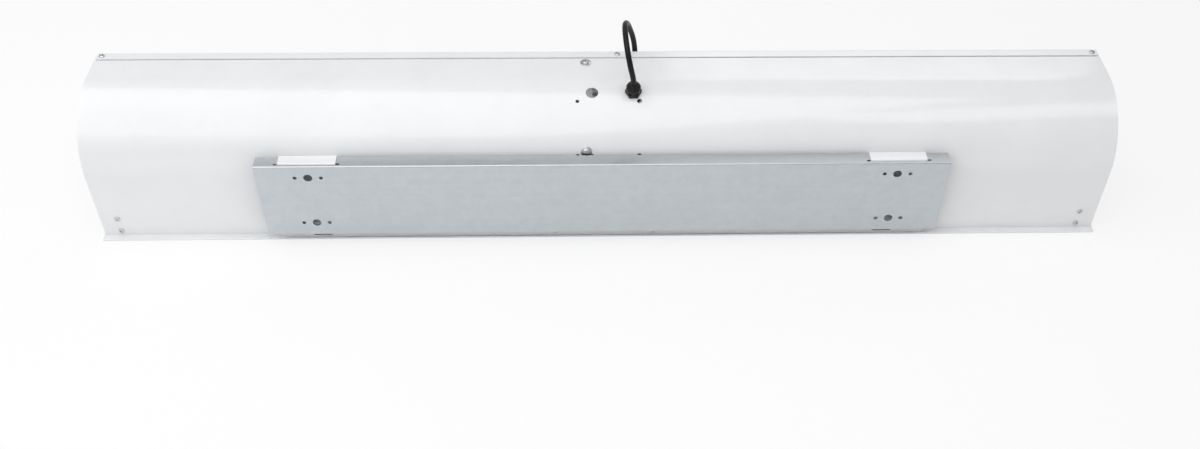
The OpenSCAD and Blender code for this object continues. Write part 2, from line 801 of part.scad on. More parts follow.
module left_motor_shield() { motor_shield(-1); }
module right_motor_shield() { motor_shield(1); }

module motor_bearings() {
    at_axis() color(STEEL) for (s = side_names) {
        x = motor_x + s * (motor_half + boss_out - 1 - bearing_w / 2);
        tube_x(x - bearing_w / 2, x + bearing_w / 2, bearing_r, shaft_r + run_gap);
    }
}

hub_in = bay_half - 8;       // hub's ends, from the middle of the motor
hub_out = bay_half + 12;
hub_r = 14;

module motor_shaft() {
    at_axis() color(STEEL) bar_x(motor_x - hub_out, motor_x + hub_out, shaft_r);
}

module motor_rotor() {
    at_axis() color(GREY) tube_x(motor_x - stack_half, motor_x + stack_half, rotor_r, shaft_r);
}

// -------------------------------------------------------------- fan wheels

wheel_gap = 8;               // between a wheel and the bulkhead
bearing_room = 20;           // between a wheel and the end plate
disc_in = wheel_r - blade_d - 3;

// X range of the wheel on side s
function wheel_x(s) = s > 0
    ? [bay_x[1] + wheel_gap, inner_x - bearing_room]
    : [-inner_x + bearing_room, bay_x[0] - wheel_gap];

// One forward-curved blade, as a crescent of chords
module blade_section() {
    n = 5;
    sweep = 16;              // turn of the blade from its root to its tip
    in_r = wheel_r - blade_d;
    span = blade_d - 0.4;
    hollow = [for (i = [0 : n]) let (k = i / n, r = in_r + k * span, a = sweep * k * k)
        [r * cos(a), r * sin(a)]];
    crown = [for (i = [n : -1 : 0]) let (k = i / n, r = in_r + k * span,
        a = sweep * k * k + blade_t / r * 180 / PI) [r * cos(a), r * sin(a)]];
    polygon(concat(hollow, crown));
}

module fan_wheel(s) {
    x = wheel_x(s);
    cell = (x[1] - x[0] - disc_t) / wheel_cells;
    at_axis() color(GREY) union() {
        along_x(x[0], x[1]) for (i = [0 : blades - 1]) rotate(i * 360 / blades) blade_section();
        for (i = [1 : wheel_cells - 1]) {
            xd = x[0] + i * cell;
            tube_x(xd, xd + disc_t, wheel_r, disc_in);
        }
        for (xd = [x[0], x[1] - disc_t]) tube_x(xd, xd + disc_t, wheel_r, shaft_r + 1.5);
    }
}

module left_fan_wheel() { fan_wheel(-1); }
module right_fan_wheel() { fan_wheel(1); }

module wheel_hubs() {
    at_axis() color(STEEL) for (s = side_names) {
        x = s > 0 ? wheel_x(1)[0] : wheel_x(-1)[1];
        near = motor_x + s * hub_in;
        difference() {
            union() {
                bar_x(min(near, x), max(near, x), hub_r);
                bar_x(min(x, x + s * (disc_t + 2)), max(x, x + s * (disc_t + 2)), shaft_r + 1.5);
            }
            bar_x(min(near, x) - 5 * cut, max(near, x) + 5 * cut, shaft_r);
            translate([near + s * 6, 0, 0]) cylinder(r = 2, h = hub_r + cut);
        }
    }
}

module hub_screws() {
    at_axis() color(BLACK) for (s = side_names)
        translate([motor_x + s * (hub_in + 6), 0, shaft_r + touch]) cylinder(r = 1.9, h = 6);
}

stub_in = 6;

module stub_shafts() {
    at_axis() color(STEEL) for (s = side_names) mirror([s < 0 ? 1 : 0, 0, 0]) {
        x = inner_x - bearing_room;
        bar_x(x - disc_t - stub_in, inner_x - 3, shaft_r);
        tube_x(x, x + 2, shaft_r + 6, shaft_r - cut);
        bar_x(x - disc_t - touch / 2, x + touch, shaft_r + 1.5);
    }
}

bush_out = 8;
rubber_out = 14;
seat_w = 10;
seat_x = inner_x - 14;       // start of the bearing's seat

module bearing(s) {
    at_axis() color(BRASS) mirror([s < 0 ? 1 : 0, 0, 0])
        tube_x(seat_x, seat_x + seat_w, bush_out, shaft_r + run_gap);
}
module left_bearing() { bearing(-1); }
module right_bearing() { bearing(1); }

module bearing_rubber(s) {
    at_axis() color(BLACK) mirror([s < 0 ? 1 : 0, 0, 0])
        tube_x(seat_x + 1, seat_x + seat_w - 1, rubber_out, bush_out);
}
module left_bearing_rubber() { bearing_rubber(-1); }
module right_bearing_rubber() { bearing_rubber(1); }

module bearing_holder(s) {
    at_axis() color(ZINC) mirror([s < 0 ? 1 : 0, 0, 0]) {
        tube_x(seat_x + 1, inner_x, rubber_out + 1.5, rubber_out);
        difference() {
            tube_x(inner_x - 1.5, inner_x, rubber_out + 12, rubber_out);
            for (q = [0 : 3]) rotate([q * 90 + 45, 0, 0]) translate([0, 0, rubber_out + 6])
                bar_x(inner_x - 4, inner_x + cut, 2);
        }
    }
}
module left_bearing_holder() { bearing_holder(-1); }
module right_bearing_holder() { bearing_holder(1); }

// ------------------------------------------------------------------- vanes

vane_end = 2;                // gap between a vane and the wall beside it

module vane(s) {
    x0 = duct(s)[0] + vane_end;
    x1 = duct(s)[1] - vane_end;
    edge_r = vane_t / 2 + 0.7;
    boss = 12;
    reach = vane_end + plate_t - touch;
    color(ZINC) translate([0, vane_y, vane_z]) {
        along_x(x0, x1) {
            translate([-vane_t / 2, -vane_h / 2 + edge_r]) square([vane_t, vane_h - 2 * edge_r]);
            for (q = side_names) translate([0, q * (vane_h / 2 - edge_r)]) circle(r = edge_r, $fn = 24);
        }
        for (x = [x0, x1 - boss]) bar_x(x, x + boss, pin_r + 1);
        bar_x(x0 - reach, x1 + reach, pin_r);
    }
}

module left_vane() { vane(-1); }
module right_vane() { vane(1); }

module vane_bushes() {
    color(BLACK) translate([0, vane_y, vane_z]) for (s = side_names) {
        d = duct(s);
        for (q = side_names) {
            face = q > 0 ? d[1] : d[0];
            translate([face, 0, 0]) mirror([q < 0 ? 1 : 0, 0, 0]) difference() {
                union() {
                    bar_x(0, plate_t, bush_r);
                    bar_x(-bush_flange_t, 0, bush_flange_r);
                }
                bar_x(-bush_flange_t - cut, plate_t + cut, pin_r + run_gap);
            }
        }
    }
}

// ------------------------------------------------- electrics inside the bay

cap_size = [44, 22, 33];
cap_room = 16;               // between the capacitor and the right bulkhead
cap_front = front_y + 27.5;
cap_at = [bay_x[1] - cap_room - cap_size[0], cap_front, tray_t];
block_size = [48, 20, 18];
block_room = 14;             // between the terminal block and the left bulkhead
block_back = rear_y - 46.5;
block_at = [bay_x[0] + block_room, block_back, tray_t];

module capacitor() {
    color(GREY) translate(cap_at) {
        cube(cap_size);
        for (y = [6, 16]) translate([cap_size[0] / 2 - 3, y - 0.4, cap_size[2]]) cube([6, 0.8, 7]);
    }
}

module capacitor_clip() {
    clip_t = 1;
    clip_w = 12;
    foot = 7;
    x = cap_at[0] + 6;
    y0 = cap_at[1] - touch - clip_t;
    y1 = cap_at[1] + cap_size[1] + touch;
    z1 = tray_t + cap_size[2] + touch;
    color(ZINC) translate([x, 0, 0]) {
        for (y = [y0, y1]) translate([0, y, tray_t]) cube([clip_w, clip_t, cap_size[2] + touch]);
        translate([0, y0, z1]) cube([clip_w, y1 - y0 + clip_t, clip_t]);
        translate([0, y0 - foot, tray_t]) cube([clip_w, foot, clip_t]);
        translate([0, y1 + clip_t, tray_t]) cube([clip_w, foot, clip_t]);
    }
}

module terminal_block() {
    ways = 4;
    pitch = block_size[0] / ways;
    color(WHITE) translate(block_at) difference() {
        cube(block_size);
        for (i = [0 : ways - 1]) {
            translate([(i + 0.5) * pitch, block_size[1] / 2, block_size[2] - 5]) cylinder(r = 2.4, h = 6);
            for (y = [-cut, block_size[1] - 5]) translate([(i + 0.5) * pitch - 3, y, 5]) cube([6, 5 + cut, 6]);
        }
    }
}

// Sweeps a round tube along points: ref is a direction that no part of the
// route follows, first and last are the directions of the two end faces
function unit(v) = v / norm(v);
function tangent(p, i, first, last) =
    i == 0 ? unit(first) : i == len(p) - 1 ? unit(last) : unit(unit(p[i + 1] - p[i]) + unit(p[i] - p[i - 1]));
function ring(c, t, ref, r, sides) =
    let (u = unit(ref - (ref * t) * t), v = cross(t, u))
    [for (k = [0 : sides - 1]) c + r * (cos(k * 360 / sides) * u + sin(k * 360 / sides) * v)];

module swept_tube(p, r, sides, ref, first, last) {
    n = len(p);
    verts = [for (i = [0 : n - 1]) each ring(p[i], tangent(p, i, first, last), ref, r, sides)];
    skin = [for (i = [0 : n - 2]) for (k = [0 : sides - 1])
        let (a = i * sides + k, b = i * sides + (k + 1) % sides)
        each [[a, b + sides, b], [a, a + sides, b + sides]]];
    start = [for (k = [1 : sides - 2]) [0, k, k + 1]];
    base = (n - 1) * sides;
    end = [for (k = [1 : sides - 2]) [base, base + k + 1, base + k]];
    polyhedron(points = verts, faces = concat(skin, start, end));
}

// Moves a route's points, by one offset at its first point and another at its last
function led(route, from, to) = [for (i = [0 : len(route) - 1])
    let (k = i / (len(route) - 1)) route[i] + (1 - k) * from + k * to];

// How far the gland, the block and the shaft stand from where the routes were drawn
gland_move = gland_at - [-34, 1.84, 169.99];
block_move = [motor_x - 21, block_back - 12, 0];
axis_move = [motor_x - 21, axis_y + 8, axis_z - 97];
front_move = [0, front_y + 75.5, 0];

shaft_pass = led([            // down behind the motor's shaft
    [-34, -2.8, 152.5], [-34, -2.2, 146], [-34, 0.4, 139], [-34, 4.5, 131.5], [-34, 9.5, 123],
    [-34, 14.5, 113], [-34, 19, 102], [-34, 22.5, 90]
], gland_move, [gland_move[0], axis_move[1], axis_move[2]]);
block_run = led([
    [-34, 24.5, 78], [-34, 25.5, 66], [-33.5, 25, 54], [-32.5, 24, 42], [-31.5, 23, 31], [-31, 22, 19.3]
], [gland_move[0], axis_move[1], axis_move[2] / 2], block_move);
supply_route = concat([for (k = [12, 6, 0, -6, -12]) gland_at + k * entry_dir], shaft_pass, block_run);
motor_route = led([           // from the block up to the motor's left shield
    [-7, 28, 19.3], [-8.5, 29, 27], [-12, 29, 36], [-16, 28, 45], [-19.5, 26, 54], [-21, 23.5, 61],
    [-20, 21, 67], [-17, 18.8, 70], [-14, 18, 70.5]
], block_move, axis_move + [35 - motor_half, 0, 0]);
block_exit = led([            // from the block along the front to the switch
    [-14, 12, 8], [-14, 6, 6], [-13, -6, 4.2], [-9, -22, 4], [0, -36, 4], [12, -47, 4], [26, -55, 4],
    [42, -60, 4.6], [60, -61.5, 6.5]
], block_move, [motor_x - 21, front_move[1], 0]);
bulk_pass = led([
    [78, -61.5, 8.2], [93, -61.5, 8.2], [108, -61.5, 7], [130, -61, 5]
], [motor_x - 21, front_move[1], 0], [motor_x - 21, front_move[1], 0]);
duct_run = led([
    [160, -61, 4], [260, -61, 4], [360, -61, 4], [460, -61, 4], [520, -61, 4], [540, -59, 6]
], [motor_x - 21, front_move[1], 0], [switch_back - 572, front_move[1], 0]);
switch_rise = led([
    [553, -55, 14], [560, -51, 26], [565, -49.5, 36], [572, -49.5, 41]
], [switch_back - 572, front_move[1], 0], [switch_back - 572, front_move[1], 0]);
switch_route = concat(block_exit, bulk_pass, duct_run, switch_rise);

module internal_wiring() {
    color(BLACK) swept_tube(supply_route, cord_d / 2, 8, [1, 0, 0], -entry_dir, [0, 0, -1]);
    color(BLACK) swept_tube(motor_route, wire_r, 8, [0, 1, 0.4], [0, 0, 1], [1, 0, 0]);
    color(GREY) swept_tube(switch_route, wire_r, 8, [0, 1, 3], [0, -1, 0], [1, 0, 0]);
}

// ------------------------------------------------------------------ switch

pivot_x = web_x - 7;
bezel_t = 1.6;
cavity = [18, 25];           // width and height of the rocker's well
well_x = pivot_x - 8;
rocker_w = cavity[0] - 2 * soft_gap;
rocker_pin_r = 1.5;

module switch_housing() {
    rim = 2;
    color(BLACK) difference() {
        translate([0, switch_y, switch_z]) union() {
            translate([switch_back, -switch_w / 2, -switch_h / 2]) cube([web_x - switch_back + 1, switch_w, switch_h]);
            translate([web_x, -switch_w / 2 - rim, -switch_h / 2 - rim])
                cube([bezel_t, switch_w + 2 * rim, switch_h + 2 * rim]);
        }
        translate([well_x, switch_y - cavity[0] / 2, switch_z - cavity[1] / 2])
            cube([web_x, cavity[0], cavity[1]]);
        translate([pivot_x, switch_y, switch_z]) facing_wall()
            cylinder(r = rocker_pin_r + run_gap, h = switch_w + 2 * cut, center = true);
    }
}

module switch_rocker() {
    color(BLACK) translate([pivot_x, switch_y, switch_z]) facing_wall() {
        cylinder(r = rocker_pin_r, h = switch_w - 1, center = true);
        linear_extrude(rocker_w, center = true)
            polygon([[9.5, 10.5], [6.5, 0], [9.5, -10.5], [2, -11.9], [-4, -6], [-4, 6], [2, 11.9]]);
    }
}

// ------------------------------------------------------------- cable gland

gland_flange_h = 5;
gland_nut_h = 12;
gland_neck = 6;
gland_inside = 12;
locknut_h = 4;
locknut_r = 12;

module cable_gland() {
    color(BLACK) on_back(gland_x, entry_a) difference() {
        union() {
            cylinder(r = gland_w / 2 / cos(30), h = gland_flange_h, $fn = 6);
            translate([0, 0, gland_flange_h]) cylinder(r = gland_w / 2 - 2, h = gland_neck);
            translate([0, 0, -gland_inside]) cylinder(r = gland_thread_r - touch, h = gland_inside + cut);
        }
        translate([0, 0, -gland_inside - cut])
            cylinder(r = cord_d / 2 + touch, h = gland_inside + gland_flange_h + gland_neck + 2 * cut);
    }
}

module gland_nut() {
    color(BLACK) on_back(gland_x, entry_a) difference() {
        union() {
            translate([0, 0, gland_flange_h + touch]) cylinder(r = gland_w / 2, h = gland_nut_h * 0.55);
            translate([0, 0, gland_flange_h + touch + gland_nut_h * 0.55])
                cylinder(r1 = gland_w / 2, r2 = cord_d / 2 + 2.4, h = gland_nut_h * 0.45 - touch);
        }
        translate([0, 0, gland_flange_h - cut]) cylinder(r = gland_w / 2 - 2 + touch, h = gland_neck + cut + 2 * touch);
        cylinder(r = cord_d / 2 + touch, h = gland_flange_h + gland_nut_h + 2 * cut);
    }
}

module gland_locknut() {
    color(BLACK) on_back(gland_x, entry_a) translate([0, 0, -sheet_t - 0.8 - locknut_h]) difference() {
        cylinder(r = locknut_r, h = locknut_h, $fn = 6);
        translate([0, 0, -cut]) cylinder(r = gland_thread_r, h = locknut_h + 2 * cut);
    }
}

// ------------------------------------------------------------- mains lead

cord_r = cord_d / 2;
// The lead leaves the gland, arches over the front edge and drops to the floor
arch = led([
    [-33.2, 9.9, 196.5], [-30.4, 10, 208.8], [-28, 6.6, 220.2], [-26.2, 0.2, 229],
    [-24.9, -8.5, 235.2], [-24.2, -18.5, 238.4], [-24.1, -28.3, 238.7],
    [-24.5, -38, 236.5], [-26, -51, 230.6], [-28.5, -63, 221],
    [-32, -72, 207], [-35.5, -77.5, 193]
], gland_move, [gland_move[0], front_move[1], body_h - 174]);
drop = led([
    [-38, -79.5, 178], [-39, -80, 162], [-39, -80, 146],
    [-39, -80, 130], [-39, -80, 114], [-39, -80, 98], [-39, -80, 82], [-39, -80, 66], [-39, -80, 50],
    [-39, -80.5, 36], [-39, -84, 23]
], [gland_move[0], front_move[1], body_h - 174], [gland_move[0], front_move[1], 0]);
along_floor = led([
    [-39, -92, 12], [-39, -103, 5.5], [-39, -116, 3.6],
    [-39, -130, 3.6], [-39, -144, 4], [-39, -158, 4.2], [-39, -172, 4.2]
], [gland_move[0], front_move[1], 0], [gland_move[0], front_move[1], 0]);
cord_route = concat([gland_at + 12 * entry_dir, gland_at + 18 * entry_dir], arch, drop, along_floor);
coil_turns = 6.5;
coil_rings = 24;             // rings a turn
coil_r = 49;                 // radius of the outermost turn
coil_pitch = cord_d + 0.5;
coil_lead = 7;               // straight run at the start of the coil
coil_start = cord_route[len(cord_route) - 1];
coil_c = [coil_start[0] + coil_r, coil_start[1] - coil_lead];
coil_tail = 34;              // straight run from the last turn into the plug
climb = 0.25;                // share of a turn on each side of the reversal

function coil_rad(t) = coil_r - coil_pitch * min(t, coil_turns - t);
function coil_h(t) =
    let (k = (t - coil_turns / 2 + climb) / (2 * climb), q = max(0, min(1, k)))
    coil_start[2] + coil_pitch * q * q * (3 - 2 * q);
function coil_pt(t) = [
    coil_c[0] + coil_rad(t) * cos(180 + 360 * t),
    coil_c[1] + coil_rad(t) * sin(180 + 360 * t),
    coil_h(t)
];
coil_end = coil_pt(coil_turns);
coil_route = concat(
    [coil_start],
    [for (i = [0 : coil_turns * coil_rings]) coil_pt(i / coil_rings)],
    [for (k = [1, 2]) coil_end + [0, coil_tail * k / 2, 0]]
);

module power_cord() {
    color(BLACK) swept_tube(cord_route, cord_r, 8, [1, 0, 0], entry_dir, [0, -1, 0]);
}

module cord_coil() {
    color(BLACK) swept_tube(coil_route, cord_r, 6, [0, 0, 1], [0, -1, 0], [0, 1, 0]);
}

// Length of the whole lead, and the least gap of the coil to itself
function run(p, i = 1) = i >= len(p) ? 0 : norm(p[i] - p[i - 1]) + run(p, i + 1);
coil_gap = min([for (i = [0 : len(coil_route) - 1]) for (j = [i + coil_rings / 2 : len(coil_route) - 1])
    norm(coil_route[i] - coil_route[j])]) - cord_d;
echo(lead_length = run(cord_route) + run(coil_route), coil_gap = coil_gap);

tie_w = 8;
tie_t = 0.8;

module cord_tie() {
    // the turns that the tie holds lie side by side a quarter turn before the end
    r0 = coil_rad(coil_turns / 2 - 0.5) - cord_r - 2 * soft_gap;
    r1 = coil_rad(0.75) + cord_r + soft_gap / 2;
    z0 = coil_start[2] - cord_r - touch;
    z1 = coil_start[2] + coil_pitch + cord_r + soft_gap / 2;
    color(BLACK) translate([coil_c[0] - tie_w / 2, coil_c[1], 0]) difference() {
        translate([0, r0 - tie_t, z0 - tie_t]) cube([tie_w, r1 - r0 + 2 * tie_t, z1 - z0 + 2 * tie_t]);
        translate([-cut, r0, z0]) cube([tie_w + 2 * cut, r1 - r0, z1 - z0]);
    }
}

plug_l = 46;
plug_w = 38;
plug_grip = 4;               // how far the lead's end sits in the plug
plug_y = coil_end[1] + coil_tail - plug_grip;
plug_z = coil_end[2];

module plug_body() {
    neck_l = 14;
    color(BLACK) translate([coil_end[0], plug_y, plug_z]) difference() {
        union() {
            facing_wall() cylinder(r1 = cord_r + 2, r2 = cord_r + 4, h = neck_l);
            translate([-plug_w / 2, neck_l, -plug_z]) cube([plug_w, plug_l - neck_l, 2 * plug_z]);
            translate([-plug_w / 2 + 7, neck_l - 6, -plug_z + 3]) cube([plug_w - 14, 8, 2 * plug_z - 6]);
        }
        translate([0, -cut, 0]) facing_wall() cylinder(r = cord_r + touch, h = plug_grip + cut);
    }
}

module plug_pins() {
    pin_l = 18;
    blade = [6.3, 1.6];
    color(STEEL) translate([coil_end[0], plug_y + plug_l, plug_z]) {
        for (s = side_names) translate([s * 8, 0, 3.5]) rotate([0, s * 30, 0])
            translate([-blade[1] / 2, 0, -blade[0] / 2]) cube([blade[1], pin_l - 1, blade[0]]);
        translate([-blade[1] / 2, 0, -blade[0] - 2.5]) cube([blade[1], pin_l, blade[0]]);
    }
}

// ----------------------------------------------------------------- drawing

rear_casing();
front_cover();
intake_grille();
bottom_panel();
left_end_plate();
right_end_plate();
left_bulkhead();
right_bulkhead();
left_air_guide();
right_air_guide();
left_tongue();
right_tongue();
wall_plate();
hanging_hooks();
hook_rivets();
plate_spacers();
plate_screws();
motor_bracket();
bracket_screws();
bracket_washers();
end_screws();
top_screws();
front_screws();
motor_stator();
motor_windings();
left_motor_shield();
right_motor_shield();
motor_bearings();
motor_shaft();
motor_rotor();
left_fan_wheel();
right_fan_wheel();
wheel_hubs();
hub_screws();
stub_shafts();
left_bearing();
right_bearing();
left_bearing_rubber();
right_bearing_rubber();
left_bearing_holder();
right_bearing_holder();
left_vane();
right_vane();
vane_bushes();
capacitor();
capacitor_clip();
terminal_block();
internal_wiring();
switch_housing();
switch_rocker();
cable_gland();
gland_nut();
gland_locknut();
power_cord();
cord_coil();
cord_tie();
plug_body();
plug_pins();
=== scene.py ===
"""Looks of a wall-mounted air curtain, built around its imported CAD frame.

Sizes are in millimetres where no other unit is named. +X runs along the
casing, +Y points to the wall behind it and +Z up.
"""

import json
import logging
import math
from dataclasses import dataclass, field
from enum import Enum
from typing import Iterable, Sequence

import bpy
import numpy as np
from mathutils import Euler, Matrix, Vector
from mathutils.geometry import delaunay_2d_cdt


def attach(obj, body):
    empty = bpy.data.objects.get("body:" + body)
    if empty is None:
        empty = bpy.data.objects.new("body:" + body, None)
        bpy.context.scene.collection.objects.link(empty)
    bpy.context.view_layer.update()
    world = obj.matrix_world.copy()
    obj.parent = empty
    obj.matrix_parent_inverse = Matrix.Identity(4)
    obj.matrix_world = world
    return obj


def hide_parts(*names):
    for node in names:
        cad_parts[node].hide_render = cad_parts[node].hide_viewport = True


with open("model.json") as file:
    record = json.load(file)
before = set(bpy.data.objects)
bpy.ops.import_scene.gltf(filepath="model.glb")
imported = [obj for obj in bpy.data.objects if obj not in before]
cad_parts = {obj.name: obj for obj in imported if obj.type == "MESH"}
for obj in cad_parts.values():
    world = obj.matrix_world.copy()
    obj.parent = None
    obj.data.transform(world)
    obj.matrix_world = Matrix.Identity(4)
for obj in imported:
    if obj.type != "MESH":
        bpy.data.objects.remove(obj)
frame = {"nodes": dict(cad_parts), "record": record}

LOG = logging.getLogger("air_curtain")
MM = 0.001
# Left and right, or lower and upper, of whatever comes in twos.
SIDES = (-1, 1)
ORIGIN = (0.0, 0.0, 0.0)
HERE = Matrix.Identity(4)
# Radius at which a turned form closes on its own axis.
AXIS = 0.01

Pair = tuple[float, float]
Triple = tuple[float, float, float]
Colour = tuple[float, float, float, float]
Node = bpy.types.Node
Socket = bpy.types.NodeSocket
Sockets = bpy.types.NodeOutputs


class Slot(Enum):
    """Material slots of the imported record."""

    ENAMEL = "white_enamel"
    ZINC = "galvanised"
    STEEL = "bright_steel"
    STACK = "stack_steel"
    COPPER = "winding_copper"
    CASTING = "cast_grey"
    ALUMINIUM = "wheel_aluminium"
    BLACKED = "dark_steel"
    BRASS = "bush_brass"
    RUBBER = "rubber"
    BLACK = "black_plastic"
    GREY = "grey_plastic"
    PALE = "pale_plastic"


class Body(Enum):
    """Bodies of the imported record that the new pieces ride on."""

    HOUSING = "housing"
    ROCKER = "rocker"


# ------------------------------------------------------------ shader graphs


class Graph:
    """Short calls for the nodes of one tree."""

    def __init__(self, tree: bpy.types.NodeTree) -> None:
        """Starts on a tree.

        Args:
            tree: The node tree to fill.
        """
        self.tree = tree

    def add(self, kind: str, feeds: dict | None = None, **settings: object) -> Node:
        """Adds a node.

        Args:
            kind: The node's type name.
            feeds: Value or source socket for each input.
            settings: Properties of the node.

        Returns:
            The new node.
        """
        made = self.tree.nodes.new(kind)
        for name, value in settings.items():
            setattr(made, name, value)
        for name, value in (feeds or {}).items():
            if isinstance(value, Socket):
                self.tree.links.new(value, made.inputs[name])
            else:
                made.inputs[name].default_value = value
        return made

    def math(self, operation: str, first: object, second: object) -> Socket:
        """Result socket of a Math node on two values or sockets."""
        return self.add("ShaderNodeMath", {0: first, 1: second}, operation=operation).outputs[0]

    def times(self, first: object, second: object) -> Socket:
        """Product of two values or sockets."""
        return self.math("MULTIPLY", first, second)

    def plus(self, first: object, second: object) -> Socket:
        """Sum of two values or sockets."""
        return self.math("ADD", first, second)

    def mixed(self, first: Socket, second: Socket, share: float) -> Socket:
        """Both values added up, the second by its share and the first by the rest."""
        return self.plus(self.times(first, 1 - share), self.times(second, share))

    def vector(self, operation: str, first: Socket, second: Socket) -> Socket:
        """Result socket of a Vector Math node."""
        return self.add("ShaderNodeVectorMath", {0: first, 1: second}, operation=operation).outputs[0]

    def noise(self, vector: Socket, scale: object, detail: float, roughness: float = 0.55) -> Socket:
        """Fac socket of a Noise texture."""
        return self.add("ShaderNodeTexNoise", {
            "Vector": vector, "Scale": scale, "Detail": detail, "Roughness": roughness}).outputs["Fac"]

    def cells(self, vector: Socket, scale: object) -> Node:
        """Voronoi texture."""
        return self.add("ShaderNodeTexVoronoi", {"Vector": vector, "Scale": scale})

    def remap(self, value: Socket, low: float, high: float, to_low: float = 0.0,
              to_high: float = 1.0) -> Socket:
        """Result socket that takes value from low..high to to_low..to_high."""
        return self.add("ShaderNodeMapRange", {
            "Value": value, "From Min": low, "From Max": high, "To Min": to_low, "To Max": to_high,
        }).outputs["Result"]

    def blend(self, share: Socket, first: object, second: object) -> Socket:
        """Colour socket between two colours, by share from 0 to 1."""
        return self.add("ShaderNodeMix", {0: share, 6: first, 7: second}, data_type="RGBA").outputs[2]


def blank_material(name: str) -> tuple[bpy.types.Material, Graph]:
    """New material without nodes, and the graph that fills it."""
    material = bpy.data.materials.new(name)
    material.use_nodes = True
    material.node_tree.nodes.clear()
    return material, Graph(material.node_tree)


class Effect(Enum):
    """Surface effects that several finishes share, each one node group."""

    PEEL = "sprayed_paint_peel"
    DUST = "settled_dust"
    SMUDGE = "handling_smudges"
    SPANGLE = "zinc_spangle"
    DRAWN = "drawn_lines"
    GRAIN = "moulded_grain"


class Effects:
    """Builds each shared effect's node group once, and places it in materials."""

    def __init__(self) -> None:
        """Starts with no group made."""
        self.groups: dict[Effect, bpy.types.NodeTree] = {}

    def place(self, graph: Graph, effect: Effect, **values: object) -> Sockets:
        """Places an effect in a material's graph.

        Args:
            graph: The material's graph.
            effect: Which effect.
            values: Input values or sockets, by the group's input names.

        Returns:
            The outputs of the group node, by name.
        """
        if effect not in self.groups:
            self.groups[effect] = self.build(effect)
        return graph.add("ShaderNodeGroup", values, node_tree=self.groups[effect]).outputs

    def build(self, effect: Effect) -> bpy.types.NodeTree:
        """Builds an effect's node group.

        Args:
            effect: Which effect.

        Returns:
            The node group.
        """
        inputs, outputs, fill = {
            Effect.PEEL: (("Scale",), ("Height",), self.fill_peel),
            Effect.DUST: (("Scale", "Amount"), ("Mask",), self.fill_dust),
            Effect.SMUDGE: (("Scale",), ("Mask",), self.fill_smudge),
            Effect.SPANGLE: (("Scale",), ("Tone", "Height"), self.fill_spangle),
            Effect.DRAWN: (("Along", "Across"), ("Tone", "Height"), self.fill_drawn),
            Effect.GRAIN: (("Scale",), ("Height",), self.fill_grain),
        }[effect]
        tree = bpy.data.node_groups.new(effect.value, "ShaderNodeTree")
        sockets = [("Vector", "INPUT", "NodeSocketVector")]
        sockets += [(name, "INPUT", "NodeSocketFloat") for name in inputs]
        sockets += [(name, "OUTPUT", "NodeSocketFloat") for name in outputs]
        for name, way, kind in sockets:
            tree.interface.new_socket(name=name, in_out=way, socket_type=kind)
        graph = Graph(tree)
        given = graph.add("NodeGroupInput").outputs
        graph.add("NodeGroupOutput", fill(graph, given))
        return tree

    def fill_peel(self, graph: Graph, given: Sockets) -> dict[str, Socket]:
        """Fine and long waves of sprayed paint. Returns the outputs' sockets."""
        long_scale, long_height = 0.12, 2.0
        fine = graph.noise(given["Vector"], given["Scale"], 2.0)
        broad = graph.noise(given["Vector"], graph.times(given["Scale"], long_scale), 1.0)
        return {"Height": graph.plus(fine, graph.times(broad, long_height))}

    def fill_dust(self, graph: Graph, given: Sockets) -> dict[str, Socket]:
        """Dust that settles on what faces up. Returns the outputs' sockets."""
        steepest, bare, covered = 0.2, 0.42, 0.72
        normal = graph.add("ShaderNodeNewGeometry").outputs["Normal"]
        upward = graph.add("ShaderNodeSeparateXYZ", {0: normal}).outputs["Z"]
        facing = graph.remap(upward, steepest, 1.0)
        patches = graph.remap(graph.noise(given["Vector"], given["Scale"], 6.0, 0.65), bare, covered)
        return {"Mask": graph.times(graph.times(facing, patches), given["Amount"])}

    def fill_smudge(self, graph: Graph, given: Sockets) -> dict[str, Socket]:
        """Soft patches where hands have been. Returns the outputs' sockets."""
        clean, touched = 0.38, 0.66
        patches = graph.noise(given["Vector"], given["Scale"], 4.0, 0.6)
        return {"Mask": graph.remap(patches, clean, touched)}

    def fill_spangle(self, graph: Graph, given: Sockets) -> dict[str, Socket]:
        """Large and small crystals of hot-dip zinc. Returns the outputs' sockets."""
        warp_scale, warp_by, small_scale, small_share, edge_height = 1.6, 0.006, 2.7, 0.35, 0.5
        warp = graph.noise(given["Vector"], graph.times(given["Scale"], warp_scale), 2.0)
        bent = graph.vector("ADD", given["Vector"], graph.times(warp, warp_by))
        large = graph.cells(bent, given["Scale"])
        small = graph.cells(bent, graph.times(given["Scale"], small_scale))
        tones = [graph.add("ShaderNodeSeparateColor", {0: crystals.outputs["Color"]}).outputs[0]
                 for crystals in (large, small)]
        tone = graph.mixed(*tones, small_share)
        height = graph.plus(tone, graph.times(large.outputs["Distance"], edge_height))
        return {"Tone": tone, "Height": height}

    def fill_drawn(self, graph: Graph, given: Sockets) -> dict[str, Socket]:
        """Lines along X left by rolling, turning or grinding. Returns the outputs' sockets."""
        dark, light = 0.3, 0.7
        across = given["Across"]
        scale = graph.add("ShaderNodeCombineXYZ", {0: given["Along"], 1: across, 2: across}).outputs[0]
        tone = graph.noise(graph.vector("MULTIPLY", given["Vector"], scale), 1.0, 5.0, 0.7)
        return {"Tone": graph.remap(tone, dark, light), "Height": tone}

    def fill_grain(self, graph: Graph, given: Sockets) -> dict[str, Socket]:
        """Spark-eroded grain of moulded plastic. Returns the outputs' sockets."""
        fine_scale = 0.5
        pits = graph.cells(given["Vector"], given["Scale"]).outputs["Distance"]
        fine = graph.noise(given["Vector"], graph.times(given["Scale"], fine_scale), 3.0)
        return {"Height": graph.plus(pits, fine)}


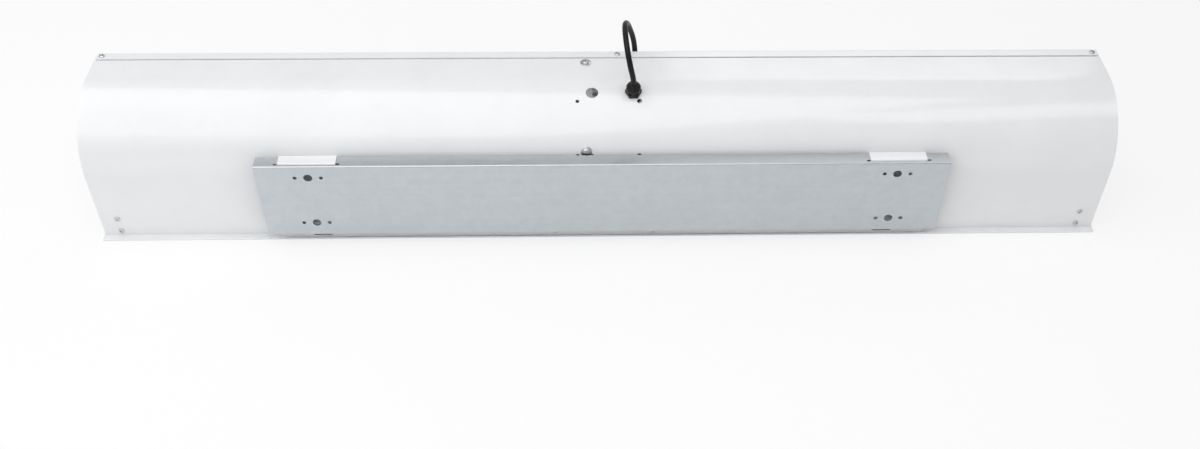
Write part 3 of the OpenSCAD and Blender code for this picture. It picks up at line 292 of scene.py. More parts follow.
def tint(red: int, green: int, blue: int) -> Colour:
    """Linear colour of a display colour given as 0 to 255."""
    parts = [v / 255 for v in (red, green, blue)]
    return (*[v / 12.92 if v <= 0.04045 else ((v + 0.055) / 1.055) ** 2.4 for v in parts], 1.0)


@dataclass(frozen=True)
class Finish:
    """What every finish has: its slot, its two tones and its gloss."""

    slot: Slot
    tone: Colour
    second: Colour
    roughness: Pair

    def make(self, effects: Effects, name: str) -> bpy.types.Material:
        """Builds the material.

        Args:
            effects: The shared effects.
            name: The material's name.

        Returns:
            The material.
        """
        material, graph = blank_material(name)
        vector = graph.add("ShaderNodeTexCoord").outputs["Object"]
        shader = self.surface(graph, effects, vector)
        graph.add("ShaderNodeOutputMaterial", {"Surface": shader.outputs[0]})
        return material

    def surface(self, graph: Graph, effects: Effects, vector: Socket) -> Node:
        """Builds the shader; each kind of finish has its own."""
        raise NotImplementedError

    def shader(self, graph: Graph, base: Socket, wear: Socket, height: Socket, relief: Pair,
               uniform: dict[str, float]) -> Node:
        """Principled shader with a bump.

        Args:
            graph: The material's graph.
            base: Its base colour.
            wear: Takes the roughness from its low to its high value.
            height: Height of the relief, from 0 to 1.
            relief: The bump's strength, and its distance in millimetres.
            uniform: Values that are the same all over the surface.

        Returns:
            The shader.
        """
        strength, distance = relief
        bump = graph.add("ShaderNodeBump", {
            "Height": height, "Strength": strength, "Distance": distance * MM}).outputs["Normal"]
        rough = graph.remap(wear, 0.0, 1.0, *self.roughness)
        return graph.add("ShaderNodeBsdfPrincipled", {
            "Base Color": base, "Roughness": rough, "Normal": bump, **uniform})


@dataclass(frozen=True)
class Paint(Finish):
    """Gloss stoving enamel on sheet steel."""

    peel_scale: float = 420.0
    dust_tone: Colour = tint(196, 192, 184)

    def surface(self, graph: Graph, effects: Effects, vector: Socket) -> Node:
        """Enamel with paint peel, thin dust and smudges. Returns the shader."""
        dust = effects.place(graph, Effect.DUST, Vector=vector, Scale=26.0, Amount=0.07)["Mask"]
        smudge = effects.place(graph, Effect.SMUDGE, Vector=vector, Scale=9.0)["Mask"]
        peel = effects.place(graph, Effect.PEEL, Vector=vector, Scale=self.peel_scale)["Height"]
        base = graph.blend(dust, graph.blend(smudge, self.tone, self.second), self.dust_tone)
        return self.shader(graph, base, smudge, peel, (0.12, 0.12),
                           {"IOR": 1.52, "Coat Weight": 0.5, "Coat Roughness": 0.06})


@dataclass(frozen=True)
class Galvanised(Finish):
    """Hot-dip galvanised sheet with its spangle."""

    spangle_scale: float = 95.0
    lines_share: float = 0.38

    def surface(self, graph: Graph, effects: Effects, vector: Socket) -> Node:
        """Zinc crystals under faint rolling lines. Returns the shader."""
        spangle = effects.place(graph, Effect.SPANGLE, Vector=vector, Scale=self.spangle_scale)
        lines = effects.place(graph, Effect.DRAWN, Vector=vector, Along=3.0, Across=260.0)
        smudge = effects.place(graph, Effect.SMUDGE, Vector=vector, Scale=7.0)["Mask"]
        tone = graph.mixed(spangle["Tone"], lines["Tone"], self.lines_share)
        return self.shader(graph, graph.blend(tone, self.tone, self.second), graph.mixed(tone, smudge, 0.5),
                           spangle["Height"], (0.10, 0.25), {"Metallic": 1.0})


@dataclass(frozen=True)
class Metal(Finish):
    """Bare metal with the lines of its making."""

    metallic: float = 1.0
    along: float = 30.0
    across: float = 900.0
    relief: float = 0.15

    def surface(self, graph: Graph, effects: Effects, vector: Socket) -> Node:
        """Metal with fine lines and smudges. Returns the shader."""
        lines = effects.place(graph, Effect.DRAWN, Vector=vector, Along=self.along, Across=self.across)
        smudge = effects.place(graph, Effect.SMUDGE, Vector=vector, Scale=60.0)["Mask"]
        return self.shader(graph, graph.blend(lines["Tone"], self.tone, self.second), smudge,
                           lines["Height"], (self.relief, 0.1), {"Metallic": self.metallic})


@dataclass(frozen=True)
class Moulded(Finish):
    """Moulded plastic or rubber with a fine grain."""

    grain_scale: float = 2600.0
    relief: float = 0.25
    specular: float = 0.5
    dust_tone: Colour = tint(120, 118, 112)

    def surface(self, graph: Graph, effects: Effects, vector: Socket) -> Node:
        """Grained plastic, a little worn and dusty. Returns the shader."""
        grain = effects.place(graph, Effect.GRAIN, Vector=vector, Scale=self.grain_scale)["Height"]
        smudge = effects.place(graph, Effect.SMUDGE, Vector=vector, Scale=80.0)["Mask"]
        dust = effects.place(graph, Effect.DUST, Vector=vector, Scale=120.0, Amount=0.06)["Mask"]
        base = graph.blend(dust, graph.blend(smudge, self.tone, self.second), self.dust_tone)
        return self.shader(graph, base, smudge, grain, (self.relief, 0.05),
                           {"Specular IOR Level": self.specular})


FINISHES: tuple[Finish, ...] = (
    Paint(Slot.ENAMEL, tint(241, 242, 244), tint(238, 239, 241), (0.17, 0.24)),
    Galvanised(Slot.ZINC, tint(196, 201, 205), tint(206, 211, 214), (0.34, 0.44)),
    Metal(Slot.STEEL, tint(200, 203, 206), tint(224, 225, 226), (0.26, 0.38)),
    Metal(Slot.STACK, tint(22, 22, 24), tint(44, 44, 47), (0.42, 0.54),
          along=2200.0, across=8.0, relief=0.6),
    Metal(Slot.COPPER, tint(150, 78, 40), tint(205, 122, 66), (0.22, 0.34), along=60.0, across=60.0),
    Metal(Slot.CASTING, tint(32, 33, 35), tint(48, 49, 52), (0.5, 0.64),
          metallic=0.3, along=400.0, across=400.0, relief=0.5),
    Metal(Slot.ALUMINIUM, tint(196, 198, 202), tint(220, 222, 225), (0.3, 0.42), along=8.0, across=700.0),
    Metal(Slot.BLACKED, tint(30, 30, 32), tint(52, 52, 55), (0.35, 0.5)),
    Metal(Slot.BRASS, tint(176, 138, 66), tint(212, 176, 98), (0.3, 0.45), along=500.0, across=500.0),
    Moulded(Slot.RUBBER, tint(13, 13, 14), tint(21, 21, 23), (0.34, 0.46),
            grain_scale=1500.0, relief=0.08, specular=0.24),
    Moulded(Slot.BLACK, tint(13, 13, 14), tint(20, 20, 22), (0.4, 0.52), specular=0.3),
    Moulded(Slot.GREY, tint(132, 135, 138), tint(150, 152, 155), (0.4, 0.55)),
    Moulded(Slot.PALE, tint(224, 223, 214), tint(233, 232, 226), (0.35, 0.5)),
)

# Darker copy of the galvanised finish, put on the zinc parts inside the casing as painted shade.
PAINTED_SHADE_ZINC = Galvanised(Slot.ZINC, tint(142, 146, 150), tint(164, 168, 172), (0.42, 0.54))
PAINTED_SHADE_NODES = frozenset((
    "motor_bracket", "left_bulkhead", "right_bulkhead", "left_air_guide", "right_air_guide", "left_tongue",
    "right_tongue", "left_bearing_holder", "right_bearing_holder", "capacitor_clip",
))


class Wardrobe:
    """Makes every finish once, and puts them on CAD nodes and new pieces."""

    def __init__(self, effects: Effects) -> None:
        """Builds the materials and dresses all the CAD nodes.

        Args:
            effects: The shared effects.
        """
        self.materials = {finish.slot: finish.make(effects, finish.slot.value) for finish in FINISHES}
        # Painted shade: the zinc parts inside the casing wear the darker copy of the galvanised finish.
        inside = PAINTED_SHADE_ZINC.make(effects, "galvanised_painted_shade")
        self.slots = {row["node"]: Slot(row["material_slot"]) for row in frame["record"]["subparts"]}
        for name, node in frame["nodes"].items():
            if not node.material_slots:
                node.data.materials.append(None)
            for held in node.material_slots:
                held.material = inside if name in PAINTED_SHADE_NODES else self.materials[self.slots[name]]
        LOG.info("dressed %d CAD nodes in %d finishes", len(frame["nodes"]), len(self.materials))

    def dress(self, piece: bpy.types.Object, slot: Slot) -> None:
        """Gives a new piece the finish of its slot."""
        piece.data.materials.clear()
        piece.data.materials.append(self.materials[slot])


# ------------------------------------------------------------------- meshes


def turned(place: Sequence[float], tilt: Triple = ORIGIN) -> Matrix:
    """Matrix that turns by tilt, in degrees about X, Y and Z, and then moves to place."""
    return Matrix.Translation(place) @ Euler([math.radians(a) for a in tilt]).to_matrix().to_4x4()


def full_turn(count: int, start: float = 0.0) -> list[float]:
    """Angles in radians that part a full turn evenly, the first one start parts on."""
    return [2 * math.pi * (k + start) / count for k in range(count)]


def arc(centre: Pair, radius: float, start: float, end: float, pieces: int) -> list[Pair]:
    """Points on an arc, its angles in degrees."""
    angles = [math.radians(start + (end - start) * i / pieces) for i in range(pieces + 1)]
    return [(centre[0] + radius * math.cos(a), centre[1] + radius * math.sin(a)) for a in angles]


def rounded_box(width: float, height: float, radius: float, pieces: int = 5) -> list[Pair]:
    """Outline of a rectangle with round corners about the origin, counter-clockwise."""
    x, y = width / 2 - radius, height / 2 - radius
    corners = ((x, y, 0), (-x, y, 90), (-x, -y, 180), (x, -y, 270))
    return [p for cx, cy, a in corners for p in arc((cx, cy), radius, a, a + 90, pieces)]


def ridges(start: float, stop: float, pitch: float, ridge: Sequence[Pair]) -> list[Pair]:
    """Thread as (radius, height) points: a ridge at every pitch from start to stop."""
    found = []
    z = start
    while z < stop:
        found += [(radius, z + rise) for radius, rise in ridge]
        z += pitch
    return found


def smooth_path(points: Sequence[Sequence[float]], pieces: int) -> list[Vector]:
    """Points on a smooth curve through the given ones.

    Args:
        points: The points that the curve goes through.
        pieces: Pieces for each span between two of them.

    Returns:
        The points of the curve.
    """
    p = [Vector(q) for q in points]
    p = [2 * p[0] - p[1], *p, 2 * p[-1] - p[-2]]
    found = []
    for a, b, c, d in zip(p, p[1:], p[2:], p[3:]):
        for i in range(pieces):
            t = i / pieces
            found.append(0.5 * (2 * b + (c - a) * t + (2 * a - 5 * b + 4 * c - d) * t * t
                                + (3 * b - a - 3 * c + d) * t ** 3))
    return [*found, p[-2]]


def eased(path: Sequence[Vector], step: float, passes: int) -> list[Vector]:
    """Path at even steps with its corners eased, its ends kept.

    Args:
        path: Points of the path.
        step: Distance between the new points.
        passes: Rounds of averaging with the neighbours.

    Returns:
        The new points.
    """
    table = np.array([tuple(p) for p in path])
    runs = np.concatenate([[0.0], np.cumsum(np.linalg.norm(np.diff(table, axis=0), axis=1))])
    even = np.linspace(0.0, runs[-1], int(round(runs[-1] / step)) + 1)
    table = np.stack([np.interp(even, runs, table[:, i]) for i in range(3)], 1)
    for _ in range(passes):
        table[1:-1] = 0.25 * table[:-2] + 0.5 * table[1:-1] + 0.25 * table[2:]
    return [Vector(row) for row in table]


def place_in_scene(name: str, data: bpy.types.ID, matrix: Matrix = HERE) -> bpy.types.Object:
    """New object of the data, linked to the scene."""
    made = bpy.data.objects.new(name, data)
    made.matrix_world = matrix
    bpy.context.scene.collection.objects.link(made)
    return made


class Sketch:
    """Points and faces in millimetres, gathered form by form into one mesh."""

    def __init__(self) -> None:
        """Starts empty."""
        self.points: list[Vector] = []
        self.faces: list[tuple[int, ...]] = []

    def add(self, points: Iterable[Sequence[float]], faces: Iterable[Sequence[int]],
            place: Matrix = HERE) -> "Sketch":
        """Adds points and faces.

        Args:
            points: The points.
            faces: Faces by the points' numbers.
            place: Where the points go.

        Returns:
            This sketch.
        """
        start = len(self.points)
        self.points += [place @ Vector(p) for p in points]
        turned_over = place.determinant() < 0
        self.faces += [tuple(start + i for i in (reversed(f) if turned_over else f)) for f in faces]
        return self

    def join(self, other: "Sketch", place: Matrix = HERE) -> "Sketch":
        """Adds another sketch at a place."""
        return self.add(other.points, other.faces, place)

    def loft(self, rings: Sequence[Sequence[Sequence[float]]], place: Matrix = HERE,
             closed: bool = False) -> "Sketch":
        """Skins rings of as many points each.

        Args:
            rings: The rings, each counter-clockwise as seen from the last ring.
            place: Where the form goes.
            closed: Joins the last ring to the first, and else both ends are capped.

        Returns:
            This sketch.
        """
        n, count = len(rings[0]), len(rings)
        faces = []
        for i in range(count if closed else count - 1):
            a, b = i * n, (i + 1) % count * n
            faces += [(a + k, a + (k + 1) % n, b + (k + 1) % n, b + k) for k in range(n)]
        if not closed:
            faces += [tuple(reversed(range(n))), tuple(range((count - 1) * n, count * n))]
        return self.add([p for ring in rings for p in ring], faces, place)

    def lathe(self, profile: Sequence[Pair], sides: int, place: Matrix = HERE,
              closed: bool = False) -> "Sketch":
        """Turns (radius, height) points about Z, from low to high on the outside."""
        rings = [[(r * math.cos(a), r * math.sin(a), z) for a in full_turn(sides)] for r, z in profile]
        return self.loft(rings, place, closed)

    def prism(self, outline: Sequence[Pair], low: float, high: float,
              place: Matrix = HERE) -> "Sketch":
        """Raises a counter-clockwise outline from low to high along Z."""
        return self.loft([[(x, y, z) for x, y in outline] for z in (low, high)], place)

    def along_x(self, outline: Sequence[Pair], low: float, high: float) -> "Sketch":
        """Draws a counter-clockwise (Y, Z) outline out along X."""
        return self.loft([[(x, y, z) for y, z in outline] for x in (low, high)])

    def tube(self, path: Sequence[Vector], radius: float, sides: int) -> "Sketch":
        """Sweeps a round section along a path without twist."""
        rings = []
        side = None
        for i, point in enumerate(path):
            ahead = (path[min(i + 1, len(path) - 1)] - path[max(i - 1, 0)]).normalized()
            side = side or ahead.orthogonal()
            side = (side - ahead * side.dot(ahead)).normalized()
            other = ahead.cross(side)
            rings.append([point + radius * (side * math.cos(a) + other * math.sin(a))
                          for a in full_turn(sides)])
        return self.loft(rings)

    def mesh(self, name: str) -> bpy.types.Mesh:
        """Makes the mesh, in metres."""
        made = bpy.data.meshes.new(name)
        made.from_pydata([p * MM for p in self.points], [], self.faces)
        made.validate()
        return made

    def copies(self, places: Iterable[Matrix]) -> "Sketch":
        """A new sketch with this one at each place."""
        made = Sketch()
        for place in places:
            made.join(self, place)
        return made

    def carved(self, *cutters: "Sketch") -> "Sketch":
        """This sketch with the cutters taken away.

        Args:
            cutters: Closed forms to cut with.

        Returns:
            A new sketch.
        """
        block, *tools = [place_in_scene("carving", form.mesh("carving")) for form in (self, *cutters)]
        for tool in tools:
            cut = block.modifiers.new("cut", "BOOLEAN")
            cut.operation, cut.object, cut.solver = "DIFFERENCE", tool, "EXACT"
        shaped = block.evaluated_get(bpy.context.evaluated_depsgraph_get()).to_mesh()
        points = [vertex.co / MM for vertex in shaped.vertices]
        made = Sketch().add(points, [tuple(face.vertices) for face in shaped.polygons])
        for thing in (block, *tools):
            bpy.data.objects.remove(thing)
        return made


class Workshop:
    """Turns sketches into pieces of the object."""

    def __init__(self, wardrobe: Wardrobe) -> None:
        """Starts with the finishes to dress pieces in.

        Args:
            wardrobe: The finishes.
        """
        self.wardrobe = wardrobe

    def piece(self, name: str, mesh: bpy.types.Mesh, slot: Slot, replaces: Sequence[str],
              body: Body = Body.HOUSING) -> bpy.types.Object:
        """Makes one piece and puts it on its body.

        Args:
            name: The piece's name.
            mesh: Its mesh, in place.
            slot: Its finish.
            replaces: CAD nodes that it stands for.
            body: The body that it moves with.

        Returns:
            The piece.
        """
        made = place_in_scene(name, mesh)
        self.wardrobe.dress(made, slot)
        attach(made, body.value)
        if replaces:
            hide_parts(*replaces)
        LOG.info("%s: %d faces, %s", name, len(mesh.polygons), slot.value)
        return made

    def form(self, name: str, sketch: Sketch, slot: Slot, replaces: Sequence[str] = (),
             body: Body = Body.HOUSING, crease: float = 35.0, bevel: float = 0.0) -> bpy.types.Object:
        """Makes a piece of a sketch.

        Args:
            name: The piece's name.
            sketch: Its form.
            slot: Its finish.
            replaces: CAD nodes that it stands for.
            body: The body that it moves with.
            crease: Angle in degrees above which an edge stays sharp.
            bevel: Width of the bevel on its sharp edges.

        Returns:
            The piece.
        """
        mesh = sketch.mesh(name)
        mesh.shade_smooth()
        mesh.set_sharp_from_angle(angle=math.radians(crease))
        made = self.piece(name, mesh, slot, replaces, body)
        if bevel:
            edge = made.modifiers.new("edges", "BEVEL")
            edge.width, edge.segments, edge.limit_method = bevel * MM, 3, "ANGLE"
            edge.angle_limit, edge.harden_normals = math.radians(crease), True
        return made

    def sheet(self, name: str, sheet: "BentSheet", slot: Slot, node: str) -> None:
        """Makes a piece of bent sheet that stands for one CAD node."""
        self.piece(name, sheet.mesh(name), slot, [node])


# --------------------------------------------------------- bent sheet metal


class Profile:
    """Section of bent sheet, walked along its outer face in the (Y, Z) plane."""

    def __init__(self, start: Pair, heading: float, left: bool) -> None:
        """Starts a walk.

        Args:
            start: Where it starts.
            heading: Direction in degrees, 0 along +Y and 90 along +Z.
            left: The sheet's outer side is on the left of the walk.
        """
        self.at = Vector(start)
        self.heading = heading
        self.side = 90.0 if left else -90.0
        self.run = 0.0
        self.stations: list[tuple[float, ...]] = []
        self.note()

    def note(self) -> None:
        """Notes the run, the place and the way that the outer face looks."""
        facing = math.radians(self.heading + self.side)
        self.stations.append((self.run, *self.at, math.cos(facing), math.sin(facing)))

    def ahead(self, length: float) -> None:
        """Moves ahead in the present direction."""
        heading = math.radians(self.heading)
        self.at += length * Vector((math.cos(heading), math.sin(heading)))

    def straight(self, length: float) -> "Profile":
        """Walks straight on."""
        self.ahead(length)
        self.run += length
        self.note()
        return self

    def bend(self, angle: float, radius: float, pieces: int) -> "Profile":
        """Walks round an arc, to the left for a positive angle."""
        step = angle / pieces
        chord = 2 * radius * math.sin(math.radians(abs(step)) / 2)
        for _ in range(pieces):
            self.heading += step / 2
            self.ahead(chord)
            self.heading += step / 2
            self.run += math.radians(abs(step)) * radius
            self.note()
        return self

    def read(self, runs: np.ndarray) -> tuple[np.ndarray, np.ndarray]:
        """Places and outward directions in (Y, Z) at the given runs."""
        table = np.array(self.stations)
        columns = [np.interp(runs, table[:, 0], table[:, i]) for i in range(1, 5)]
        out = np.stack(columns[2:], 1)
        return np.stack(columns[:2], 1), out / np.linalg.norm(out, axis=1)[:, None]


@dataclass(frozen=True)
class Cutout:
    """Opening in a cut sheet, as a loop of (X, run) points."""

    loop: tuple[Pair, ...]
    sink: float = 1.0

    @staticmethod
    def round(x: float, run: float, radius: float, sink: float = 1.0) -> "Cutout":
        """Round hole; sink is the inner radius as a share of the outer one."""
        return Cutout(tuple(arc((x, run), radius, 0, 360, 36)[:-1]), sink)

    @staticmethod
    def slot(x: float, run: float, width: float, height: float, radius: float = 0.6) -> "Cutout":
        """Rectangular opening with small round corners, about its middle."""
        return Cutout(tuple((x + a, run + b) for a, b in rounded_box(width, height, radius, 4)))

    def sunk(self, point: np.ndarray) -> np.ndarray:
        """The point drawn in towards the middle by the sink."""
        middle = np.mean(self.loop, axis=0)
        return middle + (point - middle) * self.sink


def within(point: Sequence[float], loop: Sequence[Pair]) -> bool:
    """Whether a point lies inside a loop."""
    x, y = point
    inside = False
    for (x0, y0), (x1, y1) in zip(loop, (*loop[1:], loop[0])):
        if (y0 > y) != (y1 > y) and x < x0 + (y - y0) / (y1 - y0) * (x1 - x0):
            inside = not inside
    return inside


@dataclass
class BentSheet:
    """Sheet metal cut flat in (X, run) and bent along a profile, with true normals."""

    profile: Profile
    outline: list[Pair]
    thickness: float
    cutouts: list[Cutout] = field(default_factory=list)
    merge_distance: float = 1e-4

    def flat(self) -> tuple[np.ndarray, list[tuple[int, ...]]]:
        """Triangles of the flat sheet.

        Returns:
            The (X, run) points, and the triangles by their numbers.
        """
        points: list[Pair] = []
        edges: list[tuple[int, int]] = []
        for loop in (self.outline, *(c.loop for c in self.cutouts)):
            start, n = len(points), len(loop)
            points += loop
            edges += [(start + i, start + (i + 1) % n) for i in range(n)]
        reach = max(abs(x) for x, _ in self.outline) + 1
        for run, *_ in self.profile.stations[1:-1]:
            edges.append((len(points), len(points) + 1))
            points += [(-reach, run), (reach, run)]
        made = delaunay_2d_cdt([Vector(p) for p in points], edges, [], 0, self.merge_distance)
        flat = np.array([tuple(p) for p in made[0]])
        kept = []
        for face in made[2]:
            middle = flat[list(face)].mean(axis=0)
            if within(middle, self.outline) and not any(within(middle, c.loop) for c in self.cutouts):
                kept.append(tuple(face))
        return flat, kept

    def mesh(self, name: str) -> bpy.types.Mesh:
        """Bends the sheet and gives it its thickness.

        Args:
            name: The mesh's name.

        Returns:
            The closed mesh, in metres.
        """
        flat, triangles = self.flat()
        used = sorted({i for face in triangles for i in face})
        number = {old: new for new, old in enumerate(used)}
        flat = flat[used]
        triangles = [tuple(number[i] for i in face) for face in triangles]
        inner_flat = flat.copy()
        for cutout in self.cutouts:
            if cutout.sink != 1.0:
                ring = {tuple(np.round(p, 3)) for p in cutout.loop}
                for i, point in enumerate(flat):
                    if tuple(np.round(point, 3)) in ring:
                        inner_flat[i] = cutout.sunk(point)
        place, out = self.profile.read(flat[:, 1])
        inner_place, inner_out = self.profile.read(inner_flat[:, 1])
        outer = np.column_stack([flat[:, 0], place])
        inner = np.column_stack([inner_flat[:, 0], inner_place - inner_out * self.thickness])
        a, b, c = (outer[i] for i in triangles[0])
        if np.dot(np.cross(b - a, c - a)[1:], out[triangles[0][0]]) < 0:
            triangles = [tuple(reversed(face)) for face in triangles]
        n = len(outer)
        directed = {(f[i], f[(i + 1) % 3]) for f in triangles for i in range(3)}
        rim = sorted((i, j) for i, j in directed if (j, i) not in directed)
        faces = [*triangles, *(tuple(n + i for i in reversed(f)) for f in triangles),
                 *((j, i, n + i, n + j) for i, j in rim)]
        made = bpy.data.meshes.new(name)
        made.from_pydata((np.vstack([outer, inner]) * MM).tolist(), [], faces)
        made.shade_smooth()
        normals = []
        for face in made.polygons:
            for vertex in face.vertices:
                if len(face.vertices) == 4:
                    normals.append(tuple(face.normal))
                else:
                    y, z = out[vertex] if vertex < n else -inner_out[vertex - n]
                    normals.append((0.0, y, z))
        made.normals_split_custom_set(normals)
        return made


# --------------------------------------------------------------- the casing


@dataclass(frozen=True)
class Layout:
    """Places that the casing, the wall plate and their fixings share."""

    half_length: float = 600.0
    height: float = 174.0
    front: float = -75.5
    rear: float = 58.5
    wall: float = 75.5
    plate_step: float = 8.0
    back_radius: float = 82.0
    hook_x: float = 340.0
    rivet_out: float = 21.0
    rivet_z: float = 81.0
    end_screw_x: float = 579.5
    end_screw_z: Pair = (9.5, 28.5)
    plate_screw_x: float = 58.0
    plate_screw_z: float = 10.75
    top_screw_x: Triple = (-593.0, -17.0, 593.0)
    top_screw_y: float = -67.5
    front_screw_x: tuple[float, ...] = (-540.0, -200.0, 200.0, 540.0)
    front_screw_z: float = 12.0
    bracket_x: float = 21.0
    bracket_y: float = -50.5
    bracket_angle: float = 67.5
    gland_x: float = -34.0
    gland_angle: float = 18.0

    @property
    def arc_y(self) -> float:
        """Middle of the round back, towards the wall."""
        return self.rear - self.back_radius

    @property
    def arc_z(self) -> float:
        """Middle of the round back, upward, where the flat back ends."""
        return self.height - self.back_radius

    def on_back(self, x: float, angle: float) -> Matrix:
        """Place on the round back at an angle from upright, its Z outward."""
        a = math.radians(angle)
        y, z = self.arc_y + self.back_radius * math.sin(a), self.arc_z + self.back_radius * math.cos(a)
        return turned((x, y, z), (-angle, 0, 0))


LAYOUT = Layout()


@dataclass(frozen=True)
class Casing:
    """Painted sheet-steel casing with its intake grille."""

    at: Layout = LAYOUT
    sheet: float = 1.0
    shank_hole: float = 2.1
    small_hole: float = 2.9
    strip_edge: float = -62.2
    front_bend: float = 3.0
    front_hole: float = 3.1
    front_sink: float = 0.65
    joint: float = -60.6
    joggle_drop: float = 75.0
    joggle_bends: Pair = (1.05, 0.3)
    joggle_sink: float = 0.9
    joggle_tail: float = 10.6
    slit_angles: Pair = (75.18, 87.54)
    slit_width: float = 66.6
    back_holes: tuple[Triple, ...] = (
        (21, 67.5, 2.1), (-34, 18, 8.1), (14, 18, 7.25), (31, 26, 2.15), (-41, 26, 2.9), (31, 71, 2.0),
        (14.5, 71, 2.0), (-40.5, 71, 2.5))
    tray: float = 1.2
    tray_y: Pair = (-74.5, 53.0)
    outlets: tuple[Pair, ...] = ((99.0, 589.8), (-589.8, -57.0))
    outlet_y: float = 27.0
    outlet_width: float = 46.0
    upturn_y: Pair = (-74.5, 56.3)
    upturn_z: float = 21.4
    upturn_half: float = 570.7
    lip_top: float = 2.6
    lip_y: Pair = (52.0, 67.0)
    lip_half: float = 601.5
    lip_chamfer: float = 0.3
    window: Pair = (1090.0, 96.0)
    window_low: float = 62.0
    margin: float = 8.0
    frame_depth: float = 2.0
    blade: Triple = (8.6, 1.6, 0.7)
    blade_tilt: float = -35.0
    blade_in: float = 3.0
    blades: int = 10
    rib: Triple = (2.0, 6.0, 0.8)
    ribs: int = 11

    def back_run(self, angle: float) -> float:
        """Run along the rear sheet to an angle from upright on the round back."""
        return self.at.arc_z - self.lip_top + math.radians(90 - angle) * self.at.back_radius

    def full_width(self, profile: Profile) -> list[Pair]:
        """Flat outline of a sheet as long as the casing."""
        x, end = self.at.half_length, profile.run
        return [(-x, 0.0), (x, 0.0), (x, end), (-x, end)]

    def rear_sheet(self) -> BentSheet:
        """Rear sheet: flat back, quarter round, top and joggle under the front's strip."""
        at, drop, (outer, inner) = self.at, self.joggle_drop, self.joggle_bends
        joggle = (outer + inner) * math.sin(math.radians(drop))
        profile = Profile((at.rear, self.lip_top), 90, left=False)
        profile.straight(at.arc_z - self.lip_top).bend(90, at.back_radius, 60)
        profile.straight(at.arc_y - self.joint - joggle)
        profile.bend(drop, outer, 5).straight(self.joggle_sink).bend(-drop, inner, 4)
        profile.straight(self.joggle_tail)
        bracket_run = self.back_run(0) + at.arc_y - at.bracket_y
        slit_top, slit_low = (self.back_run(angle) for angle in self.slit_angles)
        cutouts = [Cutout.round(at.bracket_x, bracket_run, self.shank_hole)]
        cutouts += [Cutout.round(x, self.back_run(angle), radius) for x, angle, radius in self.back_holes]
        for side in SIDES:
            cutouts += [Cutout.round(side * at.end_screw_x, z - self.lip_top, self.shank_hole)
                        for z in at.end_screw_z]
            cutouts.append(Cutout.round(side * at.plate_screw_x, at.plate_screw_z - self.lip_top,
                                        self.small_hole))
            cutouts += [Cutout.round(side * at.hook_x + q * at.rivet_out, at.rivet_z - self.lip_top,
                                     self.shank_hole) for q in SIDES]
            cutouts.append(Cutout.slot(side * at.hook_x, (slit_top + slit_low) / 2, self.slit_width,
                                       abs(slit_top - slit_low), radius=0.5))
        return BentSheet(profile, self.full_width(profile), self.sheet, cutouts)

    def front_sheet(self) -> BentSheet:
        """Front cover: top strip, round front edge and face with the grille's window."""
        at, bend = self.at, self.front_bend
        top = self.strip_edge - at.front - bend
        foot = top + math.pi / 2 * bend + at.height - bend
        profile = Profile((self.strip_edge, at.height), 180, left=False)
        profile.straight(top).bend(90, bend, 12).straight(at.height - bend)
        length, height = self.window
        cutouts = [Cutout.round(x, self.strip_edge - at.top_screw_y, self.shank_hole)
                   for x in at.top_screw_x]
        cutouts += [Cutout.round(x, foot - at.front_screw_z, self.front_hole, self.front_sink)
                    for x in at.front_screw_x]
        cutouts.append(Cutout.slot(0, foot - (self.window_low + height / 2), length, height, radius=2.0))
        return BentSheet(profile, self.full_width(profile), self.sheet, cutouts)

    def bottom(self) -> Sketch:
        """Bottom panel with its outlet slots, upturned edges and rounded lip."""
        x, (y0, y1), tray = self.at.half_length, self.tray_y, self.tray
        cutters = [Sketch().prism([(low + (high - low) / 2 + x, self.outlet_y + y) for x, y in
                                   rounded_box(high - low, self.outlet_width, 1.5)], -1, tray + 1)
                   for low, high in self.outlets]
        made = Sketch().prism([(-x, y0), (x, y0), (x, y1), (-x, y1)], 0.0, tray).carved(*cutters)
        for y in self.upturn_y:
            crown = arc((y + tray / 2, self.upturn_z), tray / 2, 0, 180, 6)
            made.along_x([(y, tray / 2), (y + tray, tray / 2), *crown], -self.upturn_half, self.upturn_half)
        (start, end), half, cut = self.lip_y, self.lip_top / 2, self.lip_chamfer
        lip = [(start, cut), (start + cut, 0.0), *arc((end - half, half), half, -90, 90, 12),
               (start + cut, self.lip_top), (start, self.lip_top - cut)]
        return made.along_x(lip, -self.lip_half, self.lip_half)

    def grille(self) -> Sketch:
        """Intake grille: frame, tilted blades with round edges, and upright ribs."""
        (length, height), low = self.window, self.window_low
        back, deep, around = self.at.front + self.sheet, self.frame_depth, 2 * self.margin
        facing = Matrix.Translation((0, back + deep, low + height / 2))
        facing @= Matrix.Rotation(math.pi / 2, 4, "X")
        hole = Sketch().prism(rounded_box(length, height, 1), -1, deep + 1)
        edge = Sketch().prism(rounded_box(length + around, height + around, 3), 0, deep).carved(hole)
        made = Sketch().join(edge, facing)
        middle = back + self.blade_in
        cos, sin = math.cos(math.radians(self.blade_tilt)), math.sin(math.radians(self.blade_tilt))
        for i in range(1, self.blades + 1):
            z0 = low + i * height / (self.blades + 1)
            made.along_x([(middle + y * cos - z * sin, z0 + y * sin + z * cos)
                          for y, z in rounded_box(*self.blade, 3)], -length / 2, length / 2)
        for i in range(1, self.ribs + 1):
            x0 = -length / 2 + i * length / (self.ribs + 1)
            section = [(x0 + x, middle + y) for x, y in rounded_box(*self.rib, 3)]
            made.prism(section, low - 1, low + height + 1)
        return made

    def build(self, shop: Workshop) -> None:
        """Makes the casing's pieces."""
        shop.sheet("rear_sheet", self.rear_sheet(), Slot.ENAMEL, "rear_casing")
        shop.sheet("front_sheet", self.front_sheet(), Slot.ENAMEL, "front_cover")
        shop.form("bottom_tray", self.bottom(), Slot.ENAMEL, ["bottom_panel"])
        shop.form("grille", self.grille(), Slot.ENAMEL, ["intake_grille"])


